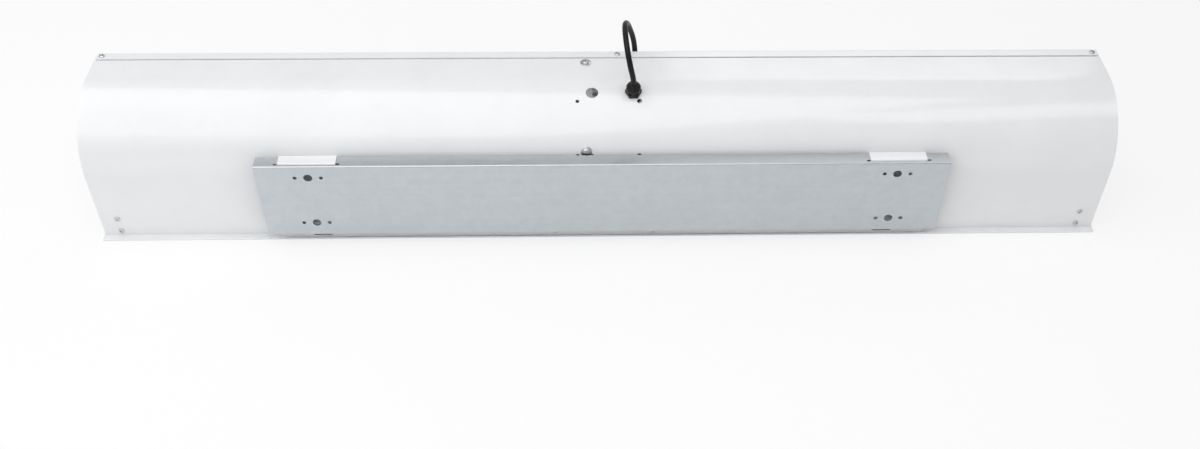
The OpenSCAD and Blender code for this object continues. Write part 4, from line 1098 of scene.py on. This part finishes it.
@dataclass(frozen=True)
class WallPlate:
    """Galvanised plate that is bolted to the wall."""

    at: Layout = LAYOUT
    half_length: float = 400.0
    top: float = 122.5
    low: float = 16.5
    flange: float = 17.5
    sheet: float = 1.2
    top_bend: float = 2.0
    low_bend: float = 1.25
    step_bend: float = 0.4
    strip: float = 11.1
    narrowed: Pair = (8.0, 14.0)
    bolt_z: Pair = (106.0, 36.0)
    bolt_hole: float = 5.0
    pilot_out: float = 15.0
    pilot_hole: float = 2.3
    hook_slot: Pair = (75.0, 2.7)
    hook_slot_in: float = 4.75
    strip_slot: Pair = (22.0, 6.0)
    strip_slot_x: float = 337.5
    strip_middle: float = 5.35
    screw_hole: float = 2.0

    def run_at(self, z: float) -> float:
        """Run to a height on the face."""
        return self.flange - self.top_bend + math.pi / 2 * self.top_bend + self.top - self.top_bend - z

    def build(self, shop: Workshop) -> None:
        """Makes the plate: flange, face, step and strip, with all their holes."""
        full = self.half_length
        cut, tip = (full - less for less in self.narrowed)
        profile = Profile((self.at.wall - self.flange, self.top), 0, left=True)
        profile.straight(self.flange - self.top_bend).bend(-90, self.top_bend, 12)
        profile.straight(self.top - self.top_bend - self.low - self.low_bend)
        step = profile.run
        profile.bend(-90, self.low_bend, 8).straight(self.at.plate_step - self.low_bend - self.step_bend)
        profile.bend(90, self.step_bend, 6)
        strip = profile.run
        end = profile.straight(self.strip).run
        outline = [(-full, 0.0), (full, 0.0), (full, step), (cut, step), (cut, strip), (tip, end),
                   (-tip, end), (-cut, strip), (-cut, step), (-full, step)]
        cutouts = []
        for side in SIDES:
            x = side * self.at.hook_x
            for z in self.bolt_z:
                run = self.run_at(z)
                cutouts.append(Cutout.round(x, run, self.bolt_hole))
                cutouts += [Cutout.round(x + q * self.pilot_out, run, self.pilot_hole) for q in SIDES]
            middle = strip + self.strip_middle
            cutouts.append(Cutout.slot(x, self.flange - self.hook_slot_in, *self.hook_slot, radius=0.8))
            cutouts.append(Cutout.slot(side * self.strip_slot_x, middle, *self.strip_slot, radius=1.0))
            cutouts.append(Cutout.round(side * self.at.plate_screw_x, middle, self.screw_hole))
        plate = BentSheet(profile, outline, self.sheet, cutouts)
        shop.sheet("mounting_plate", plate, Slot.ZINC, "wall_plate")


@dataclass(frozen=True)
class Hooks:
    """The casing's two hooks: leg, fold over the plate's flange, tongue and turned-down lip."""

    at: Layout = LAYOUT
    sheet: float = 1.5
    leg_y: float = 55.9
    foot: float = 72.0
    top: float = 124.0
    fold: float = 2.1
    tongue_y: float = 71.5
    lip_bend: float = 2.4
    lip_low: float = 113.5
    half_width: float = 33.0
    corner: float = 3.0
    rivet_up: float = 9.0
    rivet_hole: float = 2.1

    def build(self, shop: Workshop) -> None:
        """Makes the left and the right hook."""
        for side, name in zip(SIDES, ("left_hook", "right_hook")):
            profile = Profile((self.leg_y, self.foot), 90, left=True)
            profile.straight(self.top - self.foot - self.fold).bend(-90, self.fold, 10)
            profile.straight(self.tongue_y - self.lip_bend - profile.at[0]).bend(-90, self.lip_bend, 8)
            end = profile.straight(self.top - self.lip_bend - self.lip_low).run
            x, w, r = side * self.at.hook_x, self.half_width, self.corner
            outline = [(x - w, 0.0), (x + w, 0.0), (x + w, end - r),
                       *arc((x + w - r, end - r), r, 0, 90, 6)[1:],
                       *arc((x - w + r, end - r), r, 90, 180, 6)]
            holes = [Cutout.round(x + q * self.at.rivet_out, self.rivet_up, self.rivet_hole) for q in SIDES]
            shop.sheet(name, BentSheet(profile, outline, self.sheet, holes), Slot.ENAMEL, "hanging_hooks")


# ----------------------------------------------------------------- fixings


@dataclass(frozen=True)
class PanHead:
    """Pan-head screw with a cross recess, its seat at Z 0."""

    head: float
    length: float
    height: float = 2.2
    shank: float = 1.9
    rim: float = 0.35
    recess: Pair = (0.34, 0.60)
    recess_depth: float = 0.62
    wing: float = 0.30
    core: float = 0.78
    pitch: float = 0.9

    def sketch(self) -> Sketch:
        """Head with a crowned top and the recess, and a threaded shank."""
        r, h, shank, core, foot = self.head, self.height, self.shank, self.shank * self.core, -self.length
        crown = [(r * math.cos(a), self.rim * h + (1 - self.rim) * h * math.sin(a))
                 for a in (math.radians(d) for d in range(0, 86, 8))]
        body = Sketch().lathe([(AXIS, 0.0), (r - 0.1, 0.0), (r, 0.12), *crown, (AXIS, h)], 40)
        low, high = (share * r for share in self.recess)
        wing, depth = self.wing * r, self.recess_depth * h
        rings = [[(-a, -w / 2, z), (a, -w / 2, z), (a, w / 2, z), (-a, w / 2, z)]
                 for a, w, z in ((low, wing * 0.7, h - depth), (high, wing, h + 0.3))]
        cross = [Sketch().loft(rings, spin) for spin in (turned(ORIGIN), turned(ORIGIN, (0, 0, 90)))]
        thread = ridges(foot + 1.2, -0.8, self.pitch, [(core, 0.0), (shank, 0.35), (core, 0.7)])
        screw = [(AXIS, foot), (shank * 0.5, foot), *thread, (shank, -0.2), (shank, 0.1), (AXIS, 0.1)]
        return body.carved(*cross).join(Sketch().lathe(screw, 16))


@dataclass(frozen=True)
class Fixings:
    """Every screw and washer that shows on the casing."""

    at: Layout = LAYOUT
    spins: tuple[float, ...] = (14.0, 71.0, 37.0, 52.0)
    strap_spins: Pair = (8.0, 40.0)
    washer: tuple[Pair, ...] = ((2.0, 0.0), (6.2, 0.0), (6.5, 0.2), (6.5, 0.8), (6.2, 1.0), (2.0, 1.0))
    washer_height: float = 1.0
    sunk: tuple[Pair, ...] = (
        (AXIS, -9.0), (1.0, -9.0), (1.7, -7.6), (1.9, -1.0), (3.0, -0.05), (2.9, 0.0), (AXIS, 0.0))
    slot: Triple = (3.2, 0.8, 0.7)

    def sunk_screw(self) -> Sketch:
        """Countersunk screw with a cross slot, its head flush at Z 0."""
        x, y, deep = self.slot[0] / 2, self.slot[1] / 2, self.slot[2]
        cross = [Sketch().prism([(-x, -y), (x, -y), (x, y), (-x, y)], -deep, 0.5, turned(ORIGIN, (0, 0, a)))
                 for a in (0, 90)]
        return Sketch().lathe(self.sunk, 36).carved(*cross)

    def spun(self, screw: Sketch, places: Sequence[Matrix], spins: Sequence[float]) -> Sketch:
        """A screw at each place, turned by its own angle."""
        return screw.copies([place @ turned(ORIGIN, (0, 0, a)) for place, a in zip(places, spins)])

    def build(self, shop: Workshop) -> None:
        """Makes the screws and washers."""
        at, spins, to_wall, to_front = self.at, self.spins, (-90.0, 0.0, 0.0), (90.0, 0.0, 0.0)
        panel, short, strap = (PanHead(*sizes).sketch() for sizes in ((3.4, 9.0), (3.4, 6.0), (4.0, 7.0)))
        ends = [turned((side * at.end_screw_x, at.rear, z), to_wall)
                for side in SIDES for z in at.end_screw_z]
        tops = [turned((x, at.top_screw_y, at.height)) for x in at.top_screw_x]
        low = [turned((side * at.plate_screw_x, at.wall - at.plate_step, at.plate_screw_z), to_wall)
               for side in SIDES]
        seats = [turned((at.bracket_x, at.bracket_y, at.height)), at.on_back(at.bracket_x, at.bracket_angle)]
        raised = [seat @ turned((0, 0, self.washer_height)) for seat in seats]
        face = [turned((x, at.front, at.front_screw_z), to_front) for x in at.front_screw_x]
        washer = Sketch().lathe(self.washer, 48, closed=True)
        for name, made, node in (
                ("end_fixings", self.spun(short, ends, spins), "end_screws"),
                ("top_fixings", self.spun(panel, tops, spins), "top_screws"),
                ("plate_fixings", self.spun(panel, low, spins), "plate_screws"),
                ("strap_washers", washer.copies(seats), "bracket_washers"),
                ("strap_fixings", self.spun(strap, raised, self.strap_spins), "bracket_screws"),
                ("front_fixings", self.spun(self.sunk_screw(), face, spins), "front_screws")):
            shop.form(name, made, Slot.STEEL, [node])


@dataclass(frozen=True)
class CableEntry:
    """Cable gland that the lead leaves through."""

    seat: Matrix
    flats: float = 17.0
    flange: float = 5.0
    nut: float = 12.0
    bore: float = 3.35
    neck: Pair = (6.4, 11.0)
    screw_foot: float = -12.0
    screw_radii: Pair = (7.3, 7.85)
    screw_pitch: float = 1.1
    flutes: int = 12
    flute_depth: float = 0.42
    sides: int = 96
    cap_inside: float = 6.6
    cap: tuple[Triple, ...] = (
        (8.3, 0.0, 0.0), (8.5, 0.3, 0.5), (8.5, 5.6, 1.0), (8.3, 6.4, 0.6), (7.9, 7.2, 0.2), (7.1, 8.6, 0.0),
        (6.0, 9.8, 0.0))
    cap_end: tuple[Pair, ...] = ((5.0, 1.2), (4.4, 0.4), (4.0, 0.0), (3.37, 0.0), (3.37, 1.5), (6.6, 6.0))

    def body(self) -> Sketch:
        """Hexagon, the thread below it and the neck above, all bored for the lead."""
        corner = self.flats / 2 / math.cos(math.pi / 6)
        hexagon = [(corner * math.cos(a), corner * math.sin(a)) for a in full_turn(6)]
        bore = Sketch().lathe([(self.bore, -14), (self.bore, 20)], 32)
        (core, crest), foot = self.screw_radii, self.screw_foot
        ridge = [(core, 0.0), (crest, 0.35), (crest, 0.55), (core, 0.9)]
        thread = ridges(foot, -0.6, self.screw_pitch, ridge)
        screw = Sketch().lathe([(AXIS, foot), *thread, (core, 0.5), (AXIS, 0.5)], 40)
        (outside, high), low = self.neck, self.flange - 0.5
        neck = Sketch().lathe([(self.bore, low), (outside, low), (outside, high), (self.bore, high)], 40,
                              closed=True)
        made = Sketch().prism(hexagon, 0, self.flange).carved(bore)
        return made.join(screw.carved(bore)).join(neck)

    def build(self, shop: Workshop) -> None:
        """Makes the gland's body and its fluted, domed nut."""
        shop.form("gland_base", self.body().copies([self.seat]), Slot.BLACK, ["cable_gland"], bevel=0.25)
        low, high = self.flange + 0.1, self.flange + self.nut
        steps = [(r, low + up, share) for r, up, share in self.cap]
        steps += [(r, high - down, 0.0) for r, down in self.cap_end]
        rings = []
        for r, z, share in [*steps, (self.cap_inside, low, 0.0)]:
            ring = []
            for a in full_turn(self.sides):
                dip = self.flute_depth * share * max(0.0, math.cos(self.flutes * a)) ** 2
                ring.append(((r - dip) * math.cos(a), (r - dip) * math.sin(a), z))
            rings.append(ring)
        cap = Sketch().loft(rings, self.seat, closed=True)
        shop.form("gland_cap", cap, Slot.BLACK, ["gland_nut"], crease=50)


# --------------------------------------------------------------- mains lead


@dataclass(frozen=True)
class MainsLead:
    """Mains lead: its route from the gland, its coil, tie and plug."""

    diameter: float = 6.5
    route: tuple[Triple, ...] = (
        (-34, 5.548, 181.399), (-34, 7.402, 187.106), (-33.2, 9.9, 196.5), (-30.4, 10, 208.8),
        (-28, 6.6, 220.2), (-26.2, 0.2, 229), (-24.9, -8.5, 235.2), (-24.2, -18.5, 238.4),
        (-24.1, -28.3, 238.7), (-24.5, -38, 236.5), (-26, -51, 230.6), (-28.5, -63, 221), (-32, -72, 207),
        (-35.5, -77.5, 193), (-38, -79.5, 178), *((-39, -80, z) for z in range(162, 49, -16)),
        (-39, -80.5, 36), (-39, -84, 23), (-39, -92, 12), (-39, -103, 5.5), (-39, -116, 3.6),
        (-39, -130, 3.6), (-39, -144, 4), (-39, -158, 4.2), (-39, -172, 4.2))
    smoothing: int = 6
    step: float = 4.0
    easing: int = 4
    turns: float = 6.5
    points_a_turn: int = 24
    radius: float = 49.0
    lead_in: float = 6.6
    tail: float = 33.6
    tail_points: int = 4
    reversal: float = 0.1
    climb: float = 0.5
    gap: float = 0.5
    tie_width: float = 8.0
    tie_sheet: float = 0.8
    tie_corners: Pair = (3.2, 2.3)
    neck_low: float = -7.0
    ribs: int = 9
    rib_pitch: float = 2.2
    rib_growth: float = 0.3
    plug_rings: tuple[tuple[float, ...], ...] = (
        (8.0, 17.0, 11.0, 4.5), (9.0, 22.0, 15.4, 6.0), (12.0, 28.0, 18.8, 7.0), (16.0, 34.0, 21.2, 7.5),
        (20.0, 37.2, 22.2, 7.0), (24.0, 38.0, 22.4, 6.0), (40.0, 38.0, 22.4, 6.0), (44.5, 38.0, 22.4, 6.0),
        (45.6, 37.2, 21.6, 5.6), (46.0, 36.0, 20.4, 5.2))

    @property
    def half(self) -> float:
        """The lead's radius."""
        return self.diameter / 2

    @property
    def pitch(self) -> float:
        """Distance between turns that lie side by side or on each other."""
        return self.diameter + self.gap

    @property
    def centre(self) -> Triple:
        """Middle of the coil, at its lower turns."""
        x, y, z = self.route[-1]
        return x + self.radius, y - self.lead_in, z

    def coil_point(self, t: float) -> Vector:
        """Point of the coil after t turns: inwards below, then outwards on top."""
        x, y, z = self.centre
        past = t - self.turns / 2
        radius = self.radius - self.pitch * (self.turns / 2 - math.hypot(past, self.reversal))
        k = min(1.0, max(0.0, (past + self.climb / 2) / self.climb))
        a = math.pi + 2 * math.pi * t
        return Vector((x + radius * math.cos(a), y + radius * math.sin(a),
                       z + self.pitch * k * k * (3 - 2 * k)))

    def path(self) -> list[Vector]:
        """The whole lead's centreline, from the gland to the plug."""
        count = int(self.turns * self.points_a_turn)
        coil = [self.coil_point(i / self.points_a_turn) for i in range(count + 1)]
        tail = [coil[-1] + Vector((0, self.tail * (k + 1) / self.tail_points, 0))
                for k in range(self.tail_points)]
        return eased(smooth_path([*self.route, *coil, *tail], self.smoothing), self.step, self.easing)

    def tie(self) -> Sketch:
        """Hook-and-loop strap round all the turns at the coil's +Y side."""
        x, y, z = self.centre
        near = self.radius - self.pitch * (self.turns / 2 - 0.5) - self.half - 0.5
        far = self.radius - self.pitch * 0.75 + self.half + 0.2
        low, high = z - self.half - 0.1, z + self.pitch + self.half + 0.2
        size, around, (big, small) = (far - near, high - low), 2 * self.tie_sheet, self.tie_corners
        outer = rounded_box(size[0] + around, size[1] + around, big, 8)
        inner = rounded_box(*size, small, 8)
        left, right = x - self.tie_width / 2, x + self.tie_width / 2
        rings = [[(at, y + (near + far) / 2 + dy, (low + high) / 2 + dz) for dy, dz in loop]
                 for at, loop in ((left, outer), (right, outer), (right, inner), (left, inner))]
        return Sketch().loft(rings, closed=True)

    def plug(self, end: Vector) -> Sketch:
        """Plug: ribbed neck that grips the lead, and a rounded body."""
        base, foot, grip = end - Vector((0, 4.0, 0)), self.neck_low, self.half + 0.1
        neck = [(grip, 4.0), (grip, foot + 0.2), (self.half + 0.4, foot), (self.half + 1.0, foot)]
        for i in range(self.ribs):
            z, r = foot + 1.4 + self.rib_pitch * i, self.half + 1.2 + self.rib_growth * i
            neck += [(r, z - 0.6), (r + 0.1, z + 0.6), (r - 0.7, z + 0.8), (r - 0.7, z + 1.4)]
        neck += [(self.half + 4.0, 15.0), (AXIS, 15.5), (AXIS, 4.0)]
        made = Sketch().lathe(neck, 40, turned(base, (-90, 0, 0)))
        rings = [[(base.x + x, base.y + depth, base.z + z) for x, z in
                  reversed(rounded_box(width, height, min(corner, height / 2 - 0.1), 6))]
                 for depth, width, height, corner in self.plug_rings]
        return made.loft(rings)

    def build(self, shop: Workshop) -> None:
        path = self.path()
        lead = shop.form("mains_lead", Sketch().tube(path, self.half, 20), Slot.RUBBER,
                         ["power_cord", "cord_coil"], crease=60)
        tie = shop.form("lead_tie", self.tie(), Slot.BLACK, ["cord_tie"], bevel=0.2)
        plug = shop.form("lead_plug", self.plug(path[-1]), Slot.BLACK, ["plug_body"], crease=40)


# ------------------------------------------------------------ inner pieces


def facing_x(place: Sequence[float]) -> Matrix:
    """Place whose own X, Y and Z look along Y, Z and X."""
    made = Matrix(((0, 0, 1, 0), (1, 0, 0, 0), (0, 1, 0, 0), (0, 0, 0, 1)))
    made.translation = place
    return made


@dataclass(frozen=True)
class Windings:
    """The motor's two end windings: strands of wire, laced into rings."""

    axis: Pair = (-8.0, 97.0)
    middle: float = 21.0
    offset: float = 22.0
    inner: float = 22.5
    outer: float = 32.5
    width: float = 9.8
    corner: float = 3.4
    around: int = 144
    strands: int = 18
    ripple: float = 0.05
    lacings: int = 20
    lacing_radius: float = 0.45
    lacing_lift: float = 0.05
    lacing_slant: float = 0.02

    def section(self, grow: float, turn: float, pieces: int) -> list[Pair]:
        """Section of the ring as (X, radius) points, with the strands' ripple.

        Args:
            grow: How far the section stands out, and more than 0 leaves the ripple out.
            turn: How far the strands have turned round it, in radians.
            pieces: Pieces of each corner.

        Returns:
            The section's points.
        """
        half = (self.outer - self.inner) / 2
        found = []
        for x, y in rounded_box(self.width + 2 * grow, 2 * (half + grow), self.corner, pieces):
            wave = math.sin(self.strands / 2 * math.atan2(y, x) + turn) ** 2
            share = 1.0 if grow else 1 - self.ripple * wave
            found.append((x * share, self.inner + half + y * share))
        return found

    def build(self, shop: Workshop) -> None:
        """Makes both end windings and their lacing."""
        wire, cord = Sketch(), Sketch()
        for side in SIDES:
            place = facing_x((self.middle + side * self.offset, *self.axis))
            rings = [[(r * math.cos(a), r * math.sin(a), x) for x, r in self.section(0.0, 2 * a, 16)]
                     for a in full_turn(self.around)]
            wire.loft(rings, place, closed=True)
            for a in full_turn(self.lacings, 0.5):
                path = []
                for x, r in self.section(self.lacing_lift, 0.0, 5):
                    slanted = a + self.lacing_slant * x
                    path.append(place @ Vector((r * math.cos(slanted), r * math.sin(slanted), x)))
                cord.tube([*path, path[0]], self.lacing_radius, 6)
        shop.form("end_windings", wire, Slot.COPPER, ["motor_windings"], crease=60)
        shop.form("winding_lacing", cord, Slot.PALE, crease=60)


@dataclass(frozen=True)
class Harness:
    """Wiring between the gland, the terminal block, the motor and the switch."""

    supply: tuple[Triple, ...] = (
        (-34, 5.548, 181.4), (-34, 3.69, 175.7), (-34, 1.84, 170), (-34, -0.01, 164.3), (-34, -1.87, 158.6),
        (-34, -2.8, 152.5), (-34, -2.2, 146), (-34, 0.4, 139), (-34, 4.5, 131.5), (-34, 9.5, 123),
        (-34, 14.5, 113), (-34, 19, 102), (-34, 22.5, 90), (-34, 24.5, 78), (-34, 25.5, 66),
        (-33.5, 25, 54), (-32.5, 24, 42), (-31.5, 23, 31), (-31, 22, 19.3))
    motor: tuple[Triple, ...] = (
        (-7, 28, 19.3), (-8.5, 29, 27), (-12, 29, 36), (-16, 28, 45), (-19.5, 26, 54), (-21, 23.5, 61),
        (-20, 21, 67), (-17, 18.8, 70), (-14, 18, 70.5))
    switch: tuple[Triple, ...] = (
        (-14, 12, 8), (-14, 6, 6), (-13, -6, 4.2), (-9, -22, 4), (0, -36, 4), (12, -47, 4), (26, -55, 4),
        (42, -60, 4.6), (60, -61.5, 6.5), (78, -61.5, 8.2), (93, -61.5, 8.2), (108, -61.5, 7),
        (130, -61, 5), *((x, -61, 4) for x in (160, 260, 360, 460, 520)), (540, -59, 6), (553, -55, 14),
        (560, -51, 26), (565, -49.5, 36), (572, -49.5, 41))
    cable_radius: float = 3.25
    sleeve_radius: float = 2.5
    collar: float = 0.25

    def build(self, shop: Workshop) -> None:
        """Makes the three runs, with a shrunk collar near each end."""
        made = Sketch()
        runs = ((self.supply, self.cable_radius), (self.motor, self.sleeve_radius),
                (self.switch, self.sleeve_radius))
        for route, radius in runs:
            path = smooth_path(route, 5)
            made.tube(path, radius, 20)
            for part in (path[3:8], path[-8:-3]):
                made.tube(part, radius + self.collar, 20)
        shop.form("harness", made, Slot.RUBBER, ["internal_wiring"], crease=50)


@dataclass(frozen=True)
class SpeedSwitch:
    """Rocker switch in the right end plate."""

    pivot: Triple = (590.0, -49.5, 42.0)
    panel: float = 597.0
    body: Triple = (25.0, 22.0, 30.0)
    rim: float = 2.0
    rim_corner: float = 3.0
    bezel: float = 1.6
    bezel_steps: tuple[Pair, ...] = ((0.0, 0.0), (0.7, 0.0), (0.92, 0.25), (1.0, 0.7))
    well: Triple = (8.0, 18.0, 25.0)
    key_width: float = 17.4
    key_face: float = 6.5
    key_half: float = 10.5
    key_dish: float = 3.0
    key_steps: int = 24
    ridge: Triple = (0.22, 6.0, 9.6)
    ridge_pitch: float = 1.4
    key_back: tuple[Pair, ...] = ((2, 11.9), (-4, 6), (-4, -6), (2, -11.9))

    def frame(self) -> Sketch:
        """Snap-in body, rounded bezel and the rocker's well."""
        (depth, width, height), seat = self.body, facing_x((self.panel, *self.pivot[1:]))
        floor = self.pivot[0] - self.well[0] - self.panel
        well = Sketch().prism(rounded_box(*self.well[1:], 0.8), floor, 9, seat)
        rings = []
        for share, inset in self.bezel_steps:
            around = 2 * (self.rim - inset)
            loop = rounded_box(width + around, height + around, self.rim_corner - inset)
            rings.append([(x, y, share * self.bezel) for x, y in loop])
        made = Sketch().prism(rounded_box(width, height, 1.0), -depth, 0.6, seat).carved(well)
        return made.join(Sketch().loft(rings, seat).carved(well))

    def key(self) -> Sketch:
        """Rocker with a dished face and finger ridges at both ends."""
        face, (rise, start, end) = [], self.ridge
        for i in range(self.key_steps + 1):
            z = -self.key_half + 2 * self.key_half * i / self.key_steps
            wave = rise * math.sin(2 * math.pi * z / self.ridge_pitch) ** 2 if start < abs(z) < end else 0.0
            face.append((self.key_face + self.key_dish * (z / self.key_half) ** 2 - wave, z))
        half = self.key_width / 2
        return Sketch().prism([*face, *self.key_back], -half, half, turned(self.pivot, (90, 0, 0)))

    def build(self, shop: Workshop) -> None:
        """Makes the switch and its rocker."""
        shop.form("switch_frame", self.frame(), Slot.BLACK, ["switch_housing"])
        shop.form("rocker_key", self.key(), Slot.BLACK, ["switch_rocker"], Body.ROCKER, bevel=0.35)


@dataclass(frozen=True)
class MotorBay:
    """The capacitor, and the screws of the terminal block."""

    capacitor_at: Triple = (33.0, -48.0, 1.2)
    capacitor: Triple = (44.0, 22.0, 33.0)
    shoulder: float = 1.5
    tab: Pair = (6.0, 0.8)
    tab_out: float = 5.0
    tab_height: float = 7.0
    block_at: Triple = (-37.0, 12.0, 1.2)
    block: Triple = (48.0, 20.0, 18.0)
    ways: int = 4
    seat_down: float = 5.0
    spins: Pair = (20.0, 37.0)
    head: tuple[Pair, ...] = ((AXIS, 0.0), (2.1, 0.0), (2.2, 0.2), (2.2, 1.5), (2.0, 1.8), (AXIS, 1.8))
    slit: Pair = (5.0, 0.6)
    slit_low: float = 0.9

    def capacitor_can(self) -> Sketch:
        """Capacitor with a stepped lid and two tabs."""
        (x, y, z), (length, width, height) = self.capacitor_at, self.capacitor
        middle, lid = Matrix.Translation((x + length / 2, y + width / 2, z)), height - self.shoulder
        can = Sketch().prism(rounded_box(length, width, 2.5), 0, lid, middle)
        can.prism(rounded_box(length - 3, width - 3, 2.0), lid - 0.5, height, middle)
        for side in SIDES:
            tab = middle @ Matrix.Translation((0, side * self.tab_out, 0))
            can.prism(rounded_box(*self.tab, 0.2, 2), height - 1, height + self.tab_height, tab)
        return can

    def build(self, shop: Workshop) -> None:
        """Makes the capacitor and the terminal screws."""
        shop.form("capacitor_case", self.capacitor_can(), Slot.GREY, ["capacitor"], bevel=0.4)
        (x, y, z), (length, width, height) = self.block_at, self.block
        slit = Sketch().prism(rounded_box(*self.slit, 0.1, 2), self.slit_low, 3.0)
        (first, more), pitch = self.spins, length / self.ways
        spots = [turned((x + (i + 0.5) * pitch, y + width / 2, z + height - self.seat_down),
                        (0, 0, first + more * i)) for i in range(self.ways)]
        heads = Sketch().lathe(self.head, 28).carved(slit).copies(spots)
        shop.form("terminal_heads", heads, Slot.STEEL)


# ------------------------------------------------------- camera and studio


@dataclass(frozen=True)
class Viewpoint:
    """The photograph's viewpoint: behind and above the unit."""

    place: Triple = (23.36, 1165.30, 1062.99)
    turn: Triple = (46.525, -0.9002, 178.3579)
    lens: float = 37.713
    sensor: float = 36.0
    shift: Pair = (-0.0206, -0.0002)
    clip: Pair = (0.05, 60.0)

    def build(self) -> None:
        """Makes the scene's camera."""
        data = bpy.data.cameras.new("camera")
        data.sensor_width, data.lens = self.sensor, self.lens
        data.shift_x, data.shift_y = self.shift
        data.clip_start, data.clip_end = self.clip
        turn = Euler([math.radians(a) for a in self.turn])
        matrix = Matrix.LocRotScale(Vector(self.place) * MM, turn, None)
        bpy.context.scene.camera = place_in_scene("camera", data, matrix)
        LOG.info("camera with a %.1f mm lens", self.lens)


@dataclass(frozen=True)
class Softbox:
    """Rectangular studio lamp that points at a spot, its sizes in metres."""

    name: str
    place: Triple
    target: Triple
    size: Pair
    watts: float

    def build(self) -> None:
        """Makes the lamp."""
        data = bpy.data.lights.new(self.name, "AREA")
        data.shape, data.size, data.size_y = "RECTANGLE", *self.size
        data.energy = self.watts
        aim = (Vector(self.target) - Vector(self.place)).to_track_quat("-Z", "Y").to_matrix().to_4x4()
        place_in_scene(self.name, data, Matrix.Translation(self.place) @ aim)
        LOG.info("%s lamp of %.1f W", self.name, self.watts)


@dataclass(frozen=True)
class Studio:
    """Pale floor, white surroundings and soft lamps, their sizes in metres."""

    surround: float = 0.41
    floor_white: float = 0.72
    floor_half: float = 14.0
    floor_z: float = -0.0002
    lamps: tuple[Softbox, ...] = (
        Softbox("overhead", (0.95, 0.72, 1.85), (0.85, 0.5, 0.0), (3.0, 3.0), 36.5),
        Softbox("rear", (1.5, 2.4, 1.5), (0.4, 0.0, 0.1), (2.0, 1.0), 3.0),
        Softbox("side", (-1.1, 0.6, 1.6), (-0.55, 0.0, 0.15), (1.3, 0.5), 2.7),
        Softbox("front", (-0.85, -1.9, 1.8), (-0.3, 0.0, 0.1), (1.3, 0.7), 3.5),
    )

    def seen(self, graph: Graph) -> Socket:
        """Socket that is 1 for the camera's own rays."""
        return graph.add("ShaderNodeLightPath").outputs["Is Camera Ray"]

    def floor(self) -> None:
        """Makes the pale floor, which keeps the object's shadow."""
        x, z = self.floor_half, self.floor_z
        mesh = bpy.data.meshes.new("floor")
        mesh.from_pydata([(-x, -x, z), (x, -x, z), (x, x, z), (-x, x, z)], [], [(0, 1, 2, 3)])
        place_in_scene("floor", mesh)
        material, graph = blank_material("floor")
        share = graph.times(self.seen(graph), self.floor_white)
        plain = graph.add("ShaderNodeBsdfDiffuse", {"Color": tint(250, 250, 250)}).outputs[0]
        white = graph.add("ShaderNodeEmission", {"Color": (1, 1, 1, 1), "Strength": 1.0}).outputs[0]
        both = graph.add("ShaderNodeMixShader", {0: share, 1: plain, 2: white}).outputs[0]
        graph.add("ShaderNodeOutputMaterial", {"Surface": both})
        mesh.materials.append(material)

    def world(self) -> None:
        """Makes the white surroundings, dimmer as a light than as they are seen."""
        world = bpy.data.worlds.new("surround")
        bpy.context.scene.world = world
        world.use_nodes = True
        world.node_tree.nodes.clear()
        graph = Graph(world.node_tree)
        strength = graph.remap(self.seen(graph), 0.0, 1.0, self.surround, 1.0)
        light = graph.add("ShaderNodeBackground", {"Color": (1, 1, 1, 1), "Strength": strength}).outputs[0]
        graph.add("ShaderNodeOutputWorld", {"Surface": light})

    def build(self) -> None:
        """Makes the floor, the surroundings and the lamps."""
        self.floor()
        self.world()
        for lamp in self.lamps:
            lamp.build()
        bpy.context.scene.view_settings.view_transform = "Standard"


def main() -> None:
    """Builds the camera, the lead and every other piece, and the studio."""
    logging.basicConfig(level=logging.INFO, format="%(name)s: %(message)s")
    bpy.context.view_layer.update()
    shop = Workshop(Wardrobe(Effects()))
    Viewpoint().build()
    gland = LAYOUT.on_back(LAYOUT.gland_x, LAYOUT.gland_angle)
    for part in (MainsLead(), Casing(), WallPlate(), Hooks(), Fixings(), CableEntry(gland), Windings(),
                 Harness(), SpeedSwitch(), MotorBay()):
        part.build(shop)
    Studio().build()
    bpy.context.view_layer.update()


if __name__ == "__main__":
    main()
